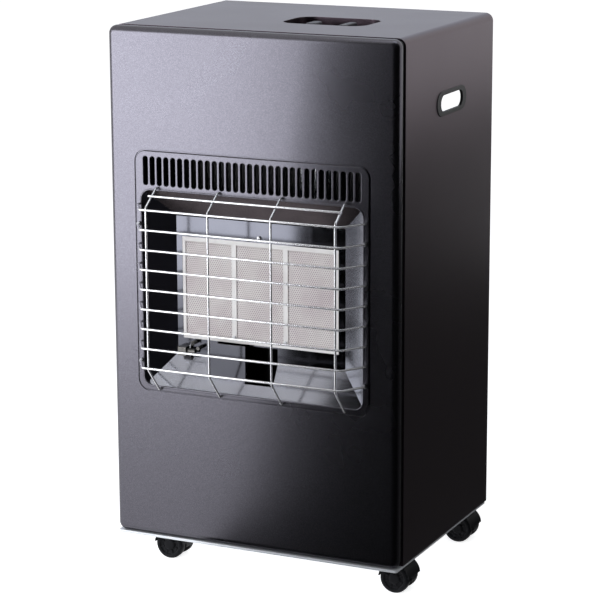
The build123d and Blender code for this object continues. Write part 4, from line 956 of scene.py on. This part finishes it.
knob_low, knob_high = (Vector(v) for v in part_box("control_knob"))
knob_centre = (knob_low + knob_high) / 2
skirt_radius = (knob_high.x - knob_low.x) / 2
half_rib = 0.00035
rib_low, rib_high = (-0.0004, -half_rib, 0.0002), (0.0003, half_rib, 0.0022)
rib = bpy.data.objects.new("rib", bar_mesh("rib", rib_low, rib_high))
scene.collection.objects.link(rib)
values = {
    ring_keys["piece"]: rib,
    ring_keys["count"]: 60,
    ring_keys["radius"]: skirt_radius,
    ring_keys["centre"]: Vector((knob_centre.x, knob_centre.y, knob_low.z)),
    ring_keys["material"]: finishes["knob_plastic"],
}
ribs = grow("knob_ribs", ring_tree, values)
bpy.data.objects.remove(rib)
add_piece("knob_ribs", ribs, "control_knob", "knob_plastic")
half_pointer = 0.0006
pointer_start, pointer_end = 0.0040, 0.0165
pointer_sunk, pointer_proud = 0.0010, 0.00012
pointer = bar_mesh("knob_pointer",
                   (knob_centre.x - half_pointer, knob_centre.y - pointer_end, knob_high.z - pointer_sunk),
                   (knob_centre.x + half_pointer, knob_centre.y - pointer_start, knob_high.z + pointer_proud))
pointer.materials.append(finishes["marking"])
add_piece("knob_pointer", pointer, "control_knob", "knob_plastic")
print("knob ribs", len(ribs.polygons), "faces")

# %% [markdown]
# ## Screws
# Each screw solid is a plain head and shank. Its place, direction and sizes are read from the solid, and a pan
# head with a cross recess takes its place.

# %% Screws
def separate_solids(mesh):
    """The points of each separate solid in a mesh."""
    form = bmesh.new()
    form.from_mesh(mesh)
    bmesh.ops.remove_doubles(form, verts=form.verts, dist=0.000002)
    left = set(form.verts)
    groups = []
    while left:
        queue = [left.pop()]
        points = []
        while queue:
            here = queue.pop()
            points.append(here.co.copy())
            for edge in here.link_edges:
                other = edge.other_vert(here)
                if other in left:
                    left.remove(other)
                    queue.append(other)
        groups.append(points)
    form.free()
    return groups


cross_arm = 0.55
cross_half_width = 0.13


def cross_reach(angle, radius):
    """How far a cross recess reaches from its centre at an angle."""
    arm = cross_arm * radius
    half_width = cross_half_width * radius
    fold = angle % (math.pi / 2)
    fold = min(fold, math.pi / 2 - fold)
    return arm / math.cos(fold) if fold <= math.atan2(half_width, arm) else half_width / math.sin(fold)


def add_screw(form, points):
    low = Vector(min(p[i] for p in points) for i in range(3))
    high = Vector(max(p[i] for p in points) for i in range(3))
    size = high - low
    axis = 1 if abs(size.x - size.z) < abs(size.x - size.y) else 2
    centre = (low + high) / 2

    def radius_at(level):
        near = [p for p in points if abs(p[axis] - level) < 0.00005]
        return max(math.dist(p, [level if i == axis else centre[i] for i in range(3)]) for p in near)

    ends = (radius_at(low[axis]), radius_at(high[axis]))
    outwards = Vector((0, 0, 0))
    outwards[axis] = -1 if ends[0] > ends[1] else 1
    head_radius, shank_radius = max(ends), min(ends)
    top = centre + outwards * size[axis] / 2
    levels = sorted({round(abs(p[axis] - top[axis]), 6) for p in points})
    head = next(v for v in levels if v > 0.0005)
    u = Vector((1, 0, 0))
    v = outwards.cross(u)
    arm_angle = math.atan2(cross_half_width, cross_arm)
    quarter = [0, arm_angle, math.radians(26), math.radians(45), math.radians(64), math.pi / 2 - arm_angle]
    angles = [q + k * math.pi / 2 for k in range(4) for q in quarter]
    shape = [("cross", 0.8, 0.55 * head), ("cross", 1.0, 0.0), (0.76, None, 0.02 * head), (0.93, None, 0.20 * head),
             (1.0, None, 0.50 * head), (1.0, None, head)]
    rings = []
    for kind, share, depth in shape:
        reach = [cross_reach(a, head_radius) * share if kind == "cross" else kind * head_radius for a in angles]
        rings.append([form.verts.new(top - outwards * depth + (u * math.cos(a) + v * math.sin(a)) * r)
                      for a, r in zip(angles, reach)])
    for depth, radius in ((head, shank_radius), (size[axis], shank_radius)):
        rings.append([form.verts.new(top - outwards * depth + (u * math.cos(a) + v * math.sin(a)) * radius)
                      for a in angles])
    for inner, outer in zip(rings, rings[1:]):
        for i in range(len(angles)):
            j = (i + 1) % len(angles)
            form.faces.new((inner[i], inner[j], outer[j], outer[i]))
    form.faces.new(rings[0])
    form.faces.new(rings[-1])


screw_form = bmesh.new()
screw_solids = separate_solids(nodes["screws"].data)
for points in screw_solids:
    add_screw(screw_form, points)
bmesh.ops.recalc_face_normals(screw_form, faces=screw_form.faces)
screw_mesh = bpy.data.meshes.new("screws_dressed")
screw_form.to_mesh(screw_mesh)
screw_form.free()
screw_mesh.shade_smooth()
screw_mesh.set_sharp_from_angle(angle=math.radians(35))
screw_mesh.materials.append(finishes["fastener"])
add_piece("screws_dressed", screw_mesh, "cabinet", "fastener", "screws")
print("screws", len(screw_solids))
